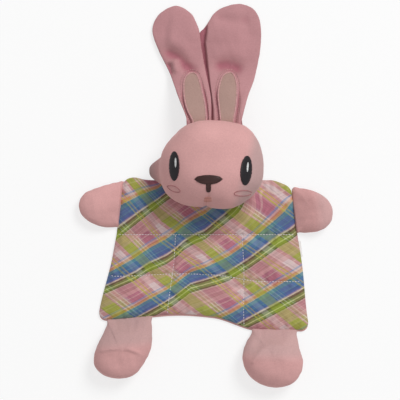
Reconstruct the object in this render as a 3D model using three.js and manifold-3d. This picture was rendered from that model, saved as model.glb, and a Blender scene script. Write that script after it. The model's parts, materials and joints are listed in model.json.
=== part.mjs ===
// Plush rabbit comfort blanket, lying on its back with its face up.
// Millimetres. +Z is up, +Y runs from the hem to the ears, and +X is the toy's own left side.
// The origin lies on the flat back of the blanket.
import * as THREE from "three";
import { mergeVertices } from "three/addons/utils/BufferGeometryUtils.js";
import Module from "manifold-3d";

const wasm = await Module();
wasm.setup();

// Cloth, thread and clearances
const CLOTH = 1.2;
const GAP = 0.3;
const THREAD_HEIGHT = 0.7;
const THREAD_WIDTH = 1.1;
const REST_FLAT = 0.5;
const MERGE_WITHIN = 1e-3;

// Blanket
const HEM_Y = -62;
const BLANKET_HEIGHT = 128;
const SHOULDER_HALF_WIDTH = 78;
const WAIST_HALF_WIDTH = 83;
const HEM_HALF_WIDTH = 96;
const HEM_DROP = 8;
const HEM_DROP_X = 26;
const HEM_DROP_RUN = 34;
const HEM_PROUD = 1.5;
const CORNER_RADIUS = 7;
const QUILT_ACROSS = [0.327, 0.693];
const QUILT_UP = [0.31, 0.61];
const BLANKET_EDGE_Z = 2.7;
const QUILT_Z = 4.5;
const PUFF = 2.9;

// Neckline and neck
const NECK_X = 4;
const NECKLINE_DEPTH = 16;
const NECKLINE_FLAT_HALF = 24;
const NECKLINE_HALF_WIDTH = 40;
const NECK_WIDTH = 26;
const NECK_HALF_THICKNESS = 2.3;
const NECK_ROOT_HEIGHT = 3;
const NECK_REACH = 11;
const NECK_RISE = 4.5;
const SWIVEL_LIMIT = 20;
const SWIVEL_TILT = 0.473;
const SWIVEL_OUT = 6.5;
const SWIVEL_Z = 6.3;

// Head
const HEAD_WIDTH = 93;
const HEAD_LENGTH = 78;
const HEAD_FACE_DEPTH = 34;
const HEAD_BACK_DEPTH = 30;
const HEAD_OVER_SHOULDER = 13.3;
const CROWN_FLAT = 2.7;
const HEAD_SQUARENESS = 2.1;
const HEAD_FULLNESS = 2.4;
const BACK_BULGE = 7;
const BACK_BULGE_ANGLE = Math.PI;
const BACK_BULGE_SPREAD = 0.28;

// Ears
const EAR_LENGTH = 112;
const EAR_SPACING = 1;
const EAR_SLOPE_RUN = 57;
const EAR_PUFF = 1.7;
const EAR_PUFF_FULL_T = 0.25;
const EAR_ROOT_ROUND = 1.2;
const EAR_ROOT_THIN = 0.4;
const EAR_FLARE_START = 0.12;
const EAR_TIP_BLUNT = 9;
const EAR_TIP_ROUND = 0.45;
const EAR_PARTING_X = 3;
const EAR_PARTING_LEAN = -13;
const EAR_RIGHT_ROOT_X = -21.5;
const EAR_RIGHT_FULL_X = -55;
const EAR_RIGHT_TIP_LEAN = -3;
const EAR_LEFT_ROOT_X = 28;
const EAR_LEFT_FULL_X = 46.5;
const EAR_LEFT_TIP_LEAN = 2;
const EARS = [
  { side: "right", rootX: EAR_RIGHT_ROOT_X, fullX: EAR_RIGHT_FULL_X, tipLean: EAR_RIGHT_TIP_LEAN },
  { side: "left", rootX: EAR_LEFT_ROOT_X, fullX: EAR_LEFT_FULL_X, tipLean: EAR_LEFT_TIP_LEAN },
];
const EAR_PATCH_FOOT = 7;
const EAR_PATCH_LENGTH = 38;
const EAR_PATCH_HALF_WIDTH = 8.2;
const EAR_PATCH_BLUNT = 4;

// Arms and legs: where the middle of the root lies on the blanket's edge, and the limb's own sizes
const LIMB_ROOT_HEIGHT = 1.6;
const LIMB_FULLNESS = 2.4;
const TIP_FULL_AT = 0.6;
const ARM_WIDTH = 40;
const ARM_FRONT_DEPTH = 8.5;
const ARM_BACK_DEPTH = 7.5;
const ARM_RISE_RUN = 16;
const ARM_BLUNT = 2.5;
const ARM_RIGHT_BELOW_SHOULDER = 22.5;
const ARM_RIGHT_LENGTH = 37;
const ARM_LEFT_BELOW_SHOULDER = 28;
const ARM_LEFT_LENGTH = 33;
const ARMS = [
  { name: "arm_right", side: -1, belowShoulder: ARM_RIGHT_BELOW_SHOULDER, length: ARM_RIGHT_LENGTH },
  { name: "arm_left", side: 1, belowShoulder: ARM_LEFT_BELOW_SHOULDER, length: ARM_LEFT_LENGTH },
];
const LEG_ROOT_WIDTH = 41;
const LEG_FRONT_DEPTH = 15.5;
const LEG_BACK_DEPTH = 13;
const LEG_RISE_RUN = 24;
const LEG_BLUNT = 3;
const LEG_LENGTH = 51;
const LEG_RIGHT_ROOT_X = -71;
const LEG_RIGHT_FOOT_WIDTH = 50;
const LEG_LEFT_ROOT_X = 61;
const LEG_LEFT_FOOT_WIDTH = 58;
const LEGS = [
  { name: "leg_right", rootX: LEG_RIGHT_ROOT_X, footWidth: LEG_RIGHT_FOOT_WIDTH, lean: -0.24 },
  { name: "leg_left", rootX: LEG_LEFT_ROOT_X, footWidth: LEG_LEFT_FOOT_WIDTH, lean: -0.06 },
];

// Face embroidery, measured from the middle of the head
const EYE_HEIGHT = 25.4;
const EYE_RIGHT_X = -33;
const EYE_RIGHT_Y = -1.8;
const EYE_RIGHT_WIDTH = 9.2;
const EYE_LEFT_X = 30;
const EYE_LEFT_Y = -5.8;
const EYE_LEFT_WIDTH = 10.4;
const EYES = [
  { side: "right", x: EYE_RIGHT_X, y: EYE_RIGHT_Y, width: EYE_RIGHT_WIDTH, lean: 0 },
  { side: "left", x: EYE_LEFT_X, y: EYE_LEFT_Y, width: EYE_LEFT_WIDTH, lean: -0.08 },
];
const HIGHLIGHT_WIDTH = 2.2;
const HIGHLIGHT_HEIGHT = 9.2;
const HIGHLIGHT_OFFSET_X = 1.2;
const HIGHLIGHT_OFFSET_Y = 3;
const NOSE_X = -3;
const NOSE_Y = -14;
const NOSE_WIDTH = 23.8;
const NOSE_HEIGHT = 8;
const NOSE_STEM_WIDTH = 4.3;
const NOSE_STEM_LENGTH = 11;
const MOUTH_X = -3.5;
const MOUTH_Y = -31;
const MOUTH_WIDTH = 7.2;
const MOUTH_HEIGHT = 4.4;
const CHEEK_RIGHT_X = -34.5;
const CHEEK_RIGHT_Y = -20;
const CHEEK_RIGHT_WIDTH = 12;
const CHEEK_RIGHT_HEIGHT = 6;
const CHEEK_LEFT_X = 28;
const CHEEK_LEFT_Y = -25;
const CHEEK_LEFT_WIDTH = 15;
const CHEEK_LEFT_HEIGHT = 5.6;
const CHEEKS = [
  {
    side: "right",
    x: CHEEK_RIGHT_X,
    y: CHEEK_RIGHT_Y,
    width: CHEEK_RIGHT_WIDTH,
    height: CHEEK_RIGHT_HEIGHT,
    tilt: -0.55,
  },
  {
    side: "left",
    x: CHEEK_LEFT_X,
    y: CHEEK_LEFT_Y,
    width: CHEEK_LEFT_WIDTH,
    height: CHEEK_LEFT_HEIGHT,
    tilt: 0.12,
  },
];

// Side label
const LABEL_Y = 2.5;
const LABEL_LENGTH = 15;
const LABEL_REACH = 3.4;
const LABEL_PLY = 0.35;

// Mesh fineness
const HEAD_SIDES = 32;
const LIMB_TIP_SIDES = 16;
const LIMB_ROOT_SIDES = 5;
const ROOT_CROWDING = 1.6;
const HEAD_RINGS = [0.3, 0.55, 0.75, 0.89, 0.97, 1];
const LIMB_RINGS = [0.4, 0.7, 0.9, 1];
const PATCH_RINGS = [0.4, 0.75, 1];
const QUILT_STEPS = [0, 0.13, 0.5, 0.87];
const EAR_ROWS = [0.09, 0.18, 0.27, 0.36, 0.45, 0.56, 0.68, 0.79, 0.88, 0.95, 0.985, 1];
const EAR_COLUMNS = 7;
const EAR_PATCH_ROWS = [0, 0.5, 0.75, 0.92, 0.98, 1];
const EAR_PATCH_COLUMNS = [-1, -0.5, 0, 0.5, 1];
const EAR_ROW_APART = 0.02;
const EYE_SIDES = 16;
const HIGHLIGHT_SIDES = 8;
const NOSE_SIDES = 20;
const MOUTH_SIDES = 12;
const CHEEK_SIDES = 16;
const LINE_STEP = 0.01;

const FINISHES = {
  plaid: { color: "#c99a9a", roughness: 0.95 },
  velour: { color: "#cd9a98", roughness: 0.9 },
  earVelour: { color: "#bb8c8c", roughness: 0.9 },
  patchVelour: { color: "#b89e92", roughness: 0.95 },
  wadding: { color: "#e8e4dc", roughness: 1 },
  blackThread: { color: "#2a2328", roughness: 0.55 },
  brownThread: { color: "#3a2622", roughness: 0.6 },
  mauveThread: { color: "#8a5a52", roughness: 0.7 },
  greyThread: { color: "#c9c9c9", roughness: 0.6 },
  pinkThread: { color: "#c8a09c", roughness: 0.65 },
  whiteThread: { color: "#e6dcdc", roughness: 0.7 },
  labelTape: { color: "#efecea", roughness: 0.6 },
};

const mix = (a, b, t) => a + (b - a) * t;
const clamp01 = (t) => Math.min(1, Math.max(0, t));
const ease = (t) => clamp01(t) ** 2 * (3 - 2 * clamp01(t));

// A closed geometry from points and triangles, with collapsed triangles left out and the faces pointing out
function closedGeometry(points, triangles) {
  const geometry = new THREE.BufferGeometry();
  geometry.setAttribute("position", new THREE.Float32BufferAttribute(points.flat(), 3));
  geometry.setIndex(triangles.flat());
  const merged = mergeVertices(geometry, MERGE_WITHIN);
  const index = [...merged.index.array];
  const at = (i) => new THREE.Vector3().fromBufferAttribute(merged.attributes.position, i);
  const kept = [];
  let volume = 0;
  for (let i = 0; i < index.length; i += 3) {
    const [a, b, c] = index.slice(i, i + 3);
    if (a === b || b === c || c === a) continue;
    kept.push([a, b, c]);
    volume += at(a).dot(at(b).cross(at(c)));
  }
  merged.setIndex((volume < 0 ? kept.map((t) => t.reverse()) : kept).flat());
  merged.computeVertexNormals();
  return merged;
}

const apart = (p, q) => Math.hypot(p[0] - q[0], p[1] - q[1], p[2] - q[2]);

// A closed surface through rings of equal counts of points; each face is split along its shorter diagonal
function throughRings(rings, closes) {
  const sides = rings[0].length;
  const points = rings.flat();
  const faces = [];
  const last = closes ? rings.length : rings.length - 1;
  for (let r = 0; r < last; r++) {
    for (let k = 0; k < sides; k++) {
      const a = r * sides + k;
      const b = r * sides + ((k + 1) % sides);
      const c = ((r + 1) % rings.length) * sides + k;
      const d = ((r + 1) % rings.length) * sides + ((k + 1) % sides);
      const acrossFirst = apart(points[a], points[d]) < apart(points[b], points[c]);
      faces.push(...(acrossFirst ? [[a, b, d], [a, d, c]] : [[a, b, c], [b, d, c]]));
    }
  }
  return closedGeometry(points, faces);
}

// A closed skin through rings of points, whose first and last rings are one point each
function skin(rings) {
  const sides = rings[1].length;
  return throughRings(rings.map((ring) => (ring.length === 1 ? Array(sides).fill(ring[0]) : ring)), false);
}

// A hoop through rings of points that closes on its first ring
const hoop = (rings) => throughRings(rings, true);

// A slab over a grid of u and v values, between an upper and a lower surface
function slab(us, vs, upper, lower) {
  const points = [];
  const faces = [];
  const sheet = us.length * vs.length;
  for (const surface of [upper, lower]) {
    for (const v of vs) for (const u of us) points.push(surface(u, v));
  }
  const at = (i, j, under) => j * us.length + i + (under ? sheet : 0);
  for (let j = 0; j < vs.length - 1; j++) {
    for (let i = 0; i < us.length - 1; i++) {
      for (const under of [false, true]) {
        const [a, b] = [at(i, j, under), at(i + 1, j, under)];
        const [c, d] = [at(i + 1, j + 1, under), at(i, j + 1, under)];
        faces.push(...(under ? [[a, c, b], [a, d, c]] : [[a, b, c], [a, c, d]]));
      }
    }
  }
  const border = [];
  for (let i = 0; i < us.length; i++) border.push([i, 0]);
  for (let j = 1; j < vs.length; j++) border.push([us.length - 1, j]);
  for (let i = us.length - 2; i >= 0; i--) border.push([i, vs.length - 1]);
  for (let j = vs.length - 2; j > 0; j--) border.push([0, j]);
  border.forEach(([i, j], k) => {
    const [m, n] = border[(k + 1) % border.length];
    faces.push([at(i, j, true), at(m, n, true), at(m, n)], [at(i, j, true), at(m, n), at(i, j)]);
  });
  return closedGeometry(points, faces);
}

// Joining and cutting
function toManifold(geometry) {
  const plain = new THREE.BufferGeometry();
  plain.setAttribute("position", geometry.attributes.position.clone());
  if (geometry.index) plain.setIndex(geometry.index.clone());
  const merged = mergeVertices(plain, MERGE_WITHIN);
  return new wasm.Manifold(
    new wasm.Mesh({
      numProp: 3,
      vertProperties: new Float32Array(merged.attributes.position.array),
      triVerts: new Uint32Array(merged.index.array),
    }),
  );
}

function toGeometry(manifold) {
  const mesh = manifold.getMesh();
  const geometry = new THREE.BufferGeometry();
  geometry.setAttribute("position", new THREE.BufferAttribute(mesh.vertProperties, 3));
  geometry.setIndex(new THREE.BufferAttribute(mesh.triVerts, 1));
  geometry.computeVertexNormals();
  return geometry;
}

function joined(geometries) {
  return toGeometry(geometries.map(toManifold).reduce((whole, next) => whole.add(next)));
}

function cut(geometry, tool) {
  return toGeometry(toManifold(geometry).subtract(toManifold(tool)));
}

function piece(name, geometry, finish) {
  const material = new THREE.MeshStandardMaterial({ ...FINISHES[finish], metalness: 0 });
  const mesh = new THREE.Mesh(geometry, material);
  mesh.name = name;
  return mesh;
}

// Padded forms. A form has a plan outline, a middle, the height of its seam, and how far its two sides swell.
const dome = (s, fullness) => Math.sqrt(Math.max(0, 1 - s ** fullness));

// One ring of a padded side: the outline drawn in by inset and shrunk to s, raised or lowered to that side
function padRing(form, side, inset, s) {
  const [cx, cy] = form.middle;
  const swell = side > 0 ? form.front : form.back;
  return form.outline(inset, side).map(([ox, oy]) => {
    const x = mix(cx, ox, s);
    const y = mix(cy, oy, s);
    const height = GAP / 2 + Math.max(0, swell(x, y) - inset) * dome(s, form.fullness);
    return [x, y, Math.max(inset, form.level(x, y) + side * height)];
  });
}

const padPole = (form, side, inset) => [padRing(form, side, inset, 0)[0]];

// One panel of a padded form: a bowl of cloth from its seam to its crown
function padPanel(form, side) {
  const outer = form.rings.map((s) => padRing(form, side, 0, s));
  const inner = form.rings.map((s) => padRing(form, side, CLOTH, s)).reverse();
  return skin([padPole(form, side, 0), ...outer, ...inner, padPole(form, side, CLOTH)]);
}

// The stuffing inside a padded form: the panels' inner faces drawn in by the clearance, met at the seam
function padStuffing(form) {
  const shares = [0, ...form.rings.slice(0, -1)];
  const drawnIn = (side) => (s) =>
    padRing(form, side, CLOTH, s).map(([x, y, z]) => [x, y, z - side * GAP]);
  const waist = padRing(form, 1, CLOTH, (1 + shares.at(-1)) / 2).map(([x, y]) => [x, y, form.level(x, y)]);
  const [frontPole, ...front] = shares.map(drawnIn(1));
  const [backPole, ...back] = shares.map(drawnIn(-1));
  return skin([[frontPole[0]], ...front, waist, ...back.reverse(), [backPole[0]]]);
}

// The space that a padded form needs with its clearance
function padRoom(form) {
  const front = form.rings.map((s) => padRing(form, 1, -GAP, s));
  const back = form.rings.map((s) => padRing(form, -1, -GAP, s)).reverse();
  return skin([padPole(form, 1, -GAP), ...front, ...back, padPole(form, -1, -GAP)]);
}

// Blanket: borders as functions of x or of height, and a grid that follows them
const SHOULDER_Y = HEM_Y + BLANKET_HEIGHT;
const NECKLINE_Y = SHOULDER_Y - NECKLINE_DEPTH;
const WAIST_Y = HEM_Y + BLANKET_HEIGHT * QUILT_UP[1];

const cornerCut = (inward) => {
  const d = clamp01(inward / CORNER_RADIUS);
  return CORNER_RADIUS * (1 - Math.sqrt(1 - (1 - d) ** 2));
};

function sideX(y) {
  const above = mix(WAIST_HALF_WIDTH, SHOULDER_HALF_WIDTH, (y - WAIST_Y) / (SHOULDER_Y - WAIST_Y));
  const below = mix(WAIST_HALF_WIDTH, HEM_HALF_WIDTH, (WAIST_Y - y) / (WAIST_Y - HEM_Y));
  return y > WAIST_Y ? above : below;
}

const hemY = (x) => HEM_Y - HEM_DROP * ease((x - HEM_DROP_X) / HEM_DROP_RUN + 0.5);

function topY(x) {
  const out = Math.abs(x - NECK_X);
  const shoulder = ease((out - NECKLINE_FLAT_HALF) / (NECKLINE_HALF_WIDTH - NECKLINE_FLAT_HALF));
  return mix(NECKLINE_Y, SHOULDER_Y, shoulder);
}

// The point of the blanket at u across (0 to 1) and v up (0 at the hem, 1 at the shoulders)
function blanketPlan(u, v) {
  const nominalY = mix(HEM_Y, SHOULDER_Y, v);
  const half = sideX(nominalY);
  const x = mix(-half, half, u);
  const inward = Math.min(x + half, half - x);
  const lineY = mix(hemY(x), SHOULDER_Y, QUILT_UP[1]);
  const hem = hemY(x) + cornerCut(inward);
  const top = topY(x) - cornerCut(inward);
  const y = v < QUILT_UP[1]
    ? mix(hem, lineY, v / QUILT_UP[1])
    : mix(lineY, top, (v - QUILT_UP[1]) / (1 - QUILT_UP[1]));
  return [x, y];
}

// The grid's lines: four steps between each quilting line and the next
const quiltKnots = (lines) => {
  const stops = [0, ...lines, 1];
  const knots = stops.slice(0, -1).flatMap((a, i) => QUILT_STEPS.map((t) => mix(a, stops[i + 1], t)));
  return [...knots, 1];
};
const ACROSS = quiltKnots(QUILT_ACROSS);
const UP = quiltKnots(QUILT_UP);

// How far a quilted cell has risen at t, from 0 on its quilting line to 1 in its middle
function cellRise(t, lines) {
  const stops = [0, ...lines, 1];
  const i = Math.min(stops.length - 2, stops.findLastIndex((stop) => t >= stop));
  const share = (t - stops[i]) / (stops[i + 1] - stops[i]);
  return Math.sqrt(Math.max(0, 1 - (2 * share - 1) ** 2));
}

function blanketZ(u, v) {
  const acrossLines = v > QUILT_UP[1] ? [] : QUILT_ACROSS;
  const puff = PUFF * cellRise(u, acrossLines) * cellRise(v, QUILT_UP);
  const fromSide = Math.min(u / ACROSS[1], (1 - u) / (1 - ACROSS.at(-2)));
  const fromEnd = Math.min(v / UP[1], (1 - v) / (1 - UP.at(-2)));
  return mix(BLANKET_EDGE_Z, QUILT_Z + puff, clamp01(Math.min(fromSide, fromEnd)));
}

function blanketFront() {
  const top = (u, v) => [...blanketPlan(u, v), blanketZ(u, v)];
  const under = (u, v) => [...blanketPlan(u, v), blanketZ(u, v) - CLOTH];
  return piece("blanket_front_panel", slab(ACROSS, UP, top, under), "plaid");
}

function blanketWadding() {
  const top = (u, v) => [...blanketPlan(u, v), blanketZ(u, v) - CLOTH - GAP];
  const under = (u, v) => [...blanketPlan(u, v), CLOTH + GAP];
  return piece("blanket_wadding", slab(ACROSS.slice(1, -1), UP.slice(1, -1), top, under), "wadding");
}

function blanketBack() {
  const border = [
    ...ACROSS.map((u) => [u, 0]),
    ...UP.slice(1).map((v) => [1, v]),
    ...ACROSS.slice(0, -1).reverse().map((u) => [u, 1]),
    ...UP.slice(1, -1).reverse().map((v) => [0, v]),
  ];
  const shape = new THREE.Shape(
    border.map(([u, v]) => {
      const [x, y] = blanketPlan(u, v);
      return new THREE.Vector2(x, v === 0 ? y - HEM_PROUD : y);
    }),
  );
  const plate = new THREE.ExtrudeGeometry(shape, { depth: CLOTH, bevelEnabled: false });
  return piece("blanket_back_panel", plate, "velour");
}

// Quilting thread: a low ribbon that lies in the channel along one quilting line
function quiltRibbon(along, place) {
  const side = (w, t, z) => {
    const [x, y] = place(t);
    const [nx, ny] = place(t + LINE_STEP);
    const run = Math.hypot(nx - x, ny - y);
    const reach = (THREAD_WIDTH / 2) * w;
    return [x - (reach * (ny - y)) / run, y + (reach * (nx - x)) / run, z];
  };
  const floor = QUILT_Z + GAP;
  return slab(
    [-1, 1],
    along,
    (w, t) => side(w, t, floor + THREAD_HEIGHT),
    (w, t) => side(w, t, floor),
  );
}

function quiltingThread() {
  const acrossRuns = QUILT_UP.map((v) => quiltRibbon(ACROSS.slice(1, -1), (u) => blanketPlan(u, v)));
  const upKnots = UP.slice(1, UP.indexOf(QUILT_UP[1]) + 1);
  const upRuns = QUILT_ACROSS.map((u) => quiltRibbon(upKnots, (v) => blanketPlan(u, v)));
  return piece("quilting_thread", joined([...acrossRuns, ...upRuns]), "whiteThread");
}

// Side label: a tape folded in two, its fold outwards, standing out of the side seam
function sideLabel() {
  const radius = LABEL_PLY + GAP / 2;
  const shape = new THREE.Shape();
  shape.moveTo(0, -radius);
  shape.lineTo(LABEL_REACH, -radius);
  shape.absarc(LABEL_REACH, 0, radius, -Math.PI / 2, Math.PI / 2, false);
  shape.lineTo(0, radius);
  const settings = { depth: LABEL_LENGTH, bevelEnabled: false, curveSegments: 6 };
  const geometry = new THREE.ExtrudeGeometry(shape, settings);
  geometry.rotateX(Math.PI / 2).translate(0, LABEL_LENGTH / 2, 0);
  const splay = Math.atan((HEM_HALF_WIDTH - WAIST_HALF_WIDTH) / (WAIST_Y - HEM_Y));
  const mesh = piece("side_label", geometry, "labelTape");
  mesh.position.set(sideX(LABEL_Y) + GAP / Math.cos(splay), LABEL_Y, CLOTH + GAP / 2);
  mesh.rotation.z = splay;
  return mesh;
}

// Head
const HEAD_LEVEL = HEAD_BACK_DEPTH - REST_FLAT + GAP / 2;
const HEAD_Y = SHOULDER_Y + HEAD_OVER_SHOULDER;
const CROWN_Y = HEAD_LENGTH / 2 - CROWN_FLAT;

// Distance from the middle of the head to its outline in direction a: a soft ellipse with a flat crown
function headRadius(a, inset) {
  const across = Math.abs(Math.cos(a)) / (HEAD_WIDTH / 2 - inset);
  const along = Math.abs(Math.sin(a)) / (HEAD_LENGTH / 2 - inset);
  const round = (across ** HEAD_SQUARENESS + along ** HEAD_SQUARENESS) ** (-1 / HEAD_SQUARENESS);
  const flat = Math.sin(a) > 0 ? (CROWN_Y - inset) / Math.sin(a) : Infinity;
  return Math.min(round, flat);
}

// The back panel bulges past the face on the toy's right
const backBulge = (a) => BACK_BULGE * Math.exp(-(((a - BACK_BULGE_ANGLE) / BACK_BULGE_SPREAD) ** 2));

const HEAD = {
  middle: [0, 0],
  fullness: HEAD_FULLNESS,
  rings: HEAD_RINGS,
  level: () => HEAD_LEVEL,
  front: () => HEAD_FACE_DEPTH,
  back: () => HEAD_BACK_DEPTH,
  outline(inset, side) {
    return Array.from({ length: HEAD_SIDES }, (_, k) => {
      const a = (2 * Math.PI * (k + 0.5)) / HEAD_SIDES;
      const r = headRadius(a, inset) + (side < 0 ? backBulge(a) : 0);
      return [r * Math.cos(a), r * Math.sin(a)];
    });
  },
};

// Height of the face panel above the floor at a point measured from the middle of the head
function faceZ(x, y) {
  const s = Math.hypot(x, y) / headRadius(Math.atan2(y, x), 0);
  return HEAD_LEVEL + GAP / 2 + HEAD_FACE_DEPTH * dome(Math.min(1, s), HEAD_FULLNESS);
}

// A raised patch that follows a surface: a plan outline given by its middle and points round it
function raisedPatch(middle, outline, surface, lift) {
  const ring = (s, height) =>
    outline.map(([ox, oy]) => {
      const x = mix(middle[0], ox, s);
      const y = mix(middle[1], oy, s);
      return [x, y, surface(x, y) + height];
    });
  const top = lift + THREAD_HEIGHT;
  return skin([
    [ring(0, top)[0]],
    ...PATCH_RINGS.map((s) => ring(s, top)),
    ...[...PATCH_RINGS].reverse().map((s) => ring(s, lift)),
    [ring(0, lift)[0]],
  ]);
}

// A raised line of stitching that follows a surface round a plan outline
function raisedLine(middle, outline, surface, width) {
  const rings = outline.map(([ox, oy]) => {
    const reach = Math.hypot(ox - middle[0], oy - middle[1]);
    const at = (r) => [mix(middle[0], ox, r / reach), mix(middle[1], oy, r / reach)];
    const inner = at(reach - width / 2);
    const outer = at(reach + width / 2);
    return [
      [...inner, surface(...inner) + GAP],
      [...outer, surface(...outer) + GAP],
      [...outer, surface(...outer) + GAP + THREAD_HEIGHT],
      [...inner, surface(...inner) + GAP + THREAD_HEIGHT],
    ];
  });
  return hoop(rings);
}

// Points round an ellipse of full width and height, turned by tilt
function oval({ x, y }, width, height, tilt, count) {
  return Array.from({ length: count }, (_, k) => {
    const a = (2 * Math.PI * k) / count;
    const p = (width / 2) * Math.cos(a);
    const q = (height / 2) * Math.sin(a);
    return [x + p * Math.cos(tilt) - q * Math.sin(tilt), y + p * Math.sin(tilt) + q * Math.cos(tilt)];
  });
}

function eyePieces(eye) {
  const outline = oval(eye, eye.width, EYE_HEIGHT, eye.lean, EYE_SIDES);
  const shine = { x: eye.x + HIGHLIGHT_OFFSET_X, y: eye.y + HIGHLIGHT_OFFSET_Y };
  const bar = oval(shine, HIGHLIGHT_WIDTH, HIGHLIGHT_HEIGHT, eye.lean, HIGHLIGHT_SIDES);
  const overEye = GAP + THREAD_HEIGHT + GAP;
  return [
    piece(`eye_${eye.side}`, raisedPatch([eye.x, eye.y], outline, faceZ, GAP), "blackThread"),
    piece(`eye_highlight_${eye.side}`, raisedPatch([shine.x, shine.y], bar, faceZ, overEye), "greyThread"),
  ];
}

// The nose: a wide lens with a round-ended stem below its middle
function nosePiece() {
  const half = NOSE_STEM_WIDTH / 2;
  const lens = Array.from({ length: NOSE_SIDES }, (_, k) => {
    const a = (2 * Math.PI * k) / NOSE_SIDES - Math.PI / 2;
    return [NOSE_X + (NOSE_WIDTH / 2) * Math.cos(a), NOSE_Y + (NOSE_HEIGHT / 2) * Math.sin(a)];
  });
  const outline = lens.flatMap(([x, y], k) => {
    if (k > 0) return [[x, y]];
    const foot = NOSE_Y - NOSE_STEM_LENGTH;
    return [
      [NOSE_X - half, NOSE_Y - NOSE_HEIGHT / 2],
      [NOSE_X - half, foot + half],
      [NOSE_X, foot],
      [NOSE_X + half, foot + half],
      [NOSE_X + half, NOSE_Y - NOSE_HEIGHT / 2],
    ];
  });
  return piece("nose_embroidery", raisedPatch([NOSE_X, NOSE_Y], outline, faceZ, GAP), "brownThread");
}

function mouthPiece() {
  const middle = { x: MOUTH_X, y: MOUTH_Y };
  const outline = oval(middle, MOUTH_WIDTH, MOUTH_HEIGHT, 0, MOUTH_SIDES);
  return piece("mouth_embroidery", raisedPatch([MOUTH_X, MOUTH_Y], outline, faceZ, GAP), "mauveThread");
}

function cheekPiece(cheek) {
  const outline = oval(cheek, cheek.width, cheek.height, cheek.tilt, CHEEK_SIDES);
  const geometry = raisedLine([cheek.x, cheek.y], outline, faceZ, THREAD_WIDTH);
  return piece(`cheek_stitching_${cheek.side}`, geometry, "mauveThread");
}

function headGroup() {
  const group = new THREE.Group();
  group.position.set(NECK_X, HEAD_Y, 0);
  group.add(
    piece("head_face_panel", padPanel(HEAD, 1), "velour"),
    piece("head_back_panel", padPanel(HEAD, -1), "velour"),
    piece("head_stuffing", padStuffing(HEAD), "wadding"),
    nosePiece(),
    mouthPiece(),
    ...EYES.flatMap(eyePieces),
    ...CHEEKS.map(cheekPiece),
    ...EARS.flatMap(earPieces),
  );
  return group;
}

// Ears, measured from the middle of the head: t runs from the root (0) to the tip (1), w across from -1 to 1
const EAR_ROOT_Y = CROWN_Y + GAP;
const EAR_REST_Z = CLOTH + EAR_PUFF + GAP / 2;
const EAR_T = [0, EAR_ROOT_ROUND / EAR_LENGTH, ...EAR_ROWS];
const EAR_W = Array.from({ length: EAR_COLUMNS }, (_, j) => -Math.cos((Math.PI * j) / (EAR_COLUMNS - 1)));

function earEdges(ear, t) {
  const spacing = ear.side === "left" ? EAR_SPACING / 2 : -EAR_SPACING / 2;
  const inner = EAR_PARTING_X + EAR_PARTING_LEAN * t + spacing;
  const start = ease(EAR_FLARE_START);
  const flare = (ease(EAR_FLARE_START + t) - start) / (1 - start);
  const outer = mix(ear.rootX, ear.fullX, flare);
  return [Math.min(inner, outer), Math.max(inner, outer)];
}

// The share of its full width that an ear keeps at t, dropping to nothing at its blunt tip
const earRound = (t) => Math.max(0, 1 - t ** EAR_TIP_BLUNT) ** EAR_TIP_ROUND;

function earPlan(ear, w, t) {
  const [low, high] = earEdges(ear, t);
  const half = ((high - low) / 2) * earRound(t);
  const tip = ear.tipLean * t ** 4;
  return [(low + high) / 2 + tip + half * w, EAR_ROOT_Y + EAR_LENGTH * t];
}

const earLevel = (y) => mix(HEAD_LEVEL, EAR_REST_Z, ease((y - EAR_ROOT_Y) / EAR_SLOPE_RUN));

function earThickness(w, t) {
  const rounding = t === 0 ? EAR_ROOT_THIN : 1;
  const puff = EAR_PUFF * ease(t / EAR_PUFF_FULL_T) * Math.sqrt(1 - w * w) * earRound(t);
  return rounding * CLOTH + (t === 0 ? 0 : puff);
}

function earPanel(ear, side) {
  const surface = (depth) => (w, t) => {
    const [x, y] = earPlan(ear, w, t);
    return [x, y, earLevel(y) + side * (GAP / 2 + depth(w, t))];
  };
  const outside = surface(earThickness);
  const inside = surface(() => 0);
  return side > 0 ? slab(EAR_W, EAR_T, outside, inside) : slab(EAR_W, EAR_T, inside, outside);
}

// Height of an ear's front panel at a point measured from the middle of the head, straight between its rows
function earFrontZ(ear) {
  const onRow = (x, t) => {
    const [low, high] = earEdges(ear, t);
    const half = ((high - low) / 2) * earRound(t);
    const w = Math.min(1, Math.abs(x - (low + high) / 2) / half);
    return earLevel(EAR_ROOT_Y + EAR_LENGTH * t) + GAP / 2 + earThickness(w, t);
  };
  return (x, y) => {
    const t = Math.max(EAR_T[1], (y - EAR_ROOT_Y) / EAR_LENGTH);
    const i = EAR_T.findLastIndex((row) => t >= row);
    return mix(onRow(x, EAR_T[i]), onRow(x, EAR_T[i + 1]), (t - EAR_T[i]) / (EAR_T[i + 1] - EAR_T[i]));
  };
}

// Inner-ear patch: an arch on the ear's front, in rows of t that share the ear's own rows
const PATCH_FOOT_T = EAR_PATCH_FOOT / EAR_LENGTH;
const PATCH_TOP_T = PATCH_FOOT_T + EAR_PATCH_LENGTH / EAR_LENGTH;
const PATCH_T = [
  ...EAR_ROWS.filter((t) => t < PATCH_TOP_T - EAR_ROW_APART),
  ...EAR_PATCH_ROWS.map((share) => mix(PATCH_FOOT_T, PATCH_TOP_T, share)),
].filter((t) => t >= PATCH_FOOT_T).sort((a, b) => a - b);

// The point of the patch at w across (-1 to 1) and t along, with its edge moved out by grow
function patchPlan(ear, w, t, grow) {
  const share = (t - PATCH_FOOT_T) / (PATCH_TOP_T - PATCH_FOOT_T);
  const arch = Math.sqrt(Math.max(0, 1 - share ** EAR_PATCH_BLUNT));
  const spread = grow * (share < 1 ? 1 : 0);
  const [low, high] = earEdges(ear, t);
  const x = (low + high) / 2 + w * (EAR_PATCH_HALF_WIDTH * arch + spread);
  return [x, EAR_ROOT_Y + EAR_LENGTH * t + grow * (2 * share - 1)];
}

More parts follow.
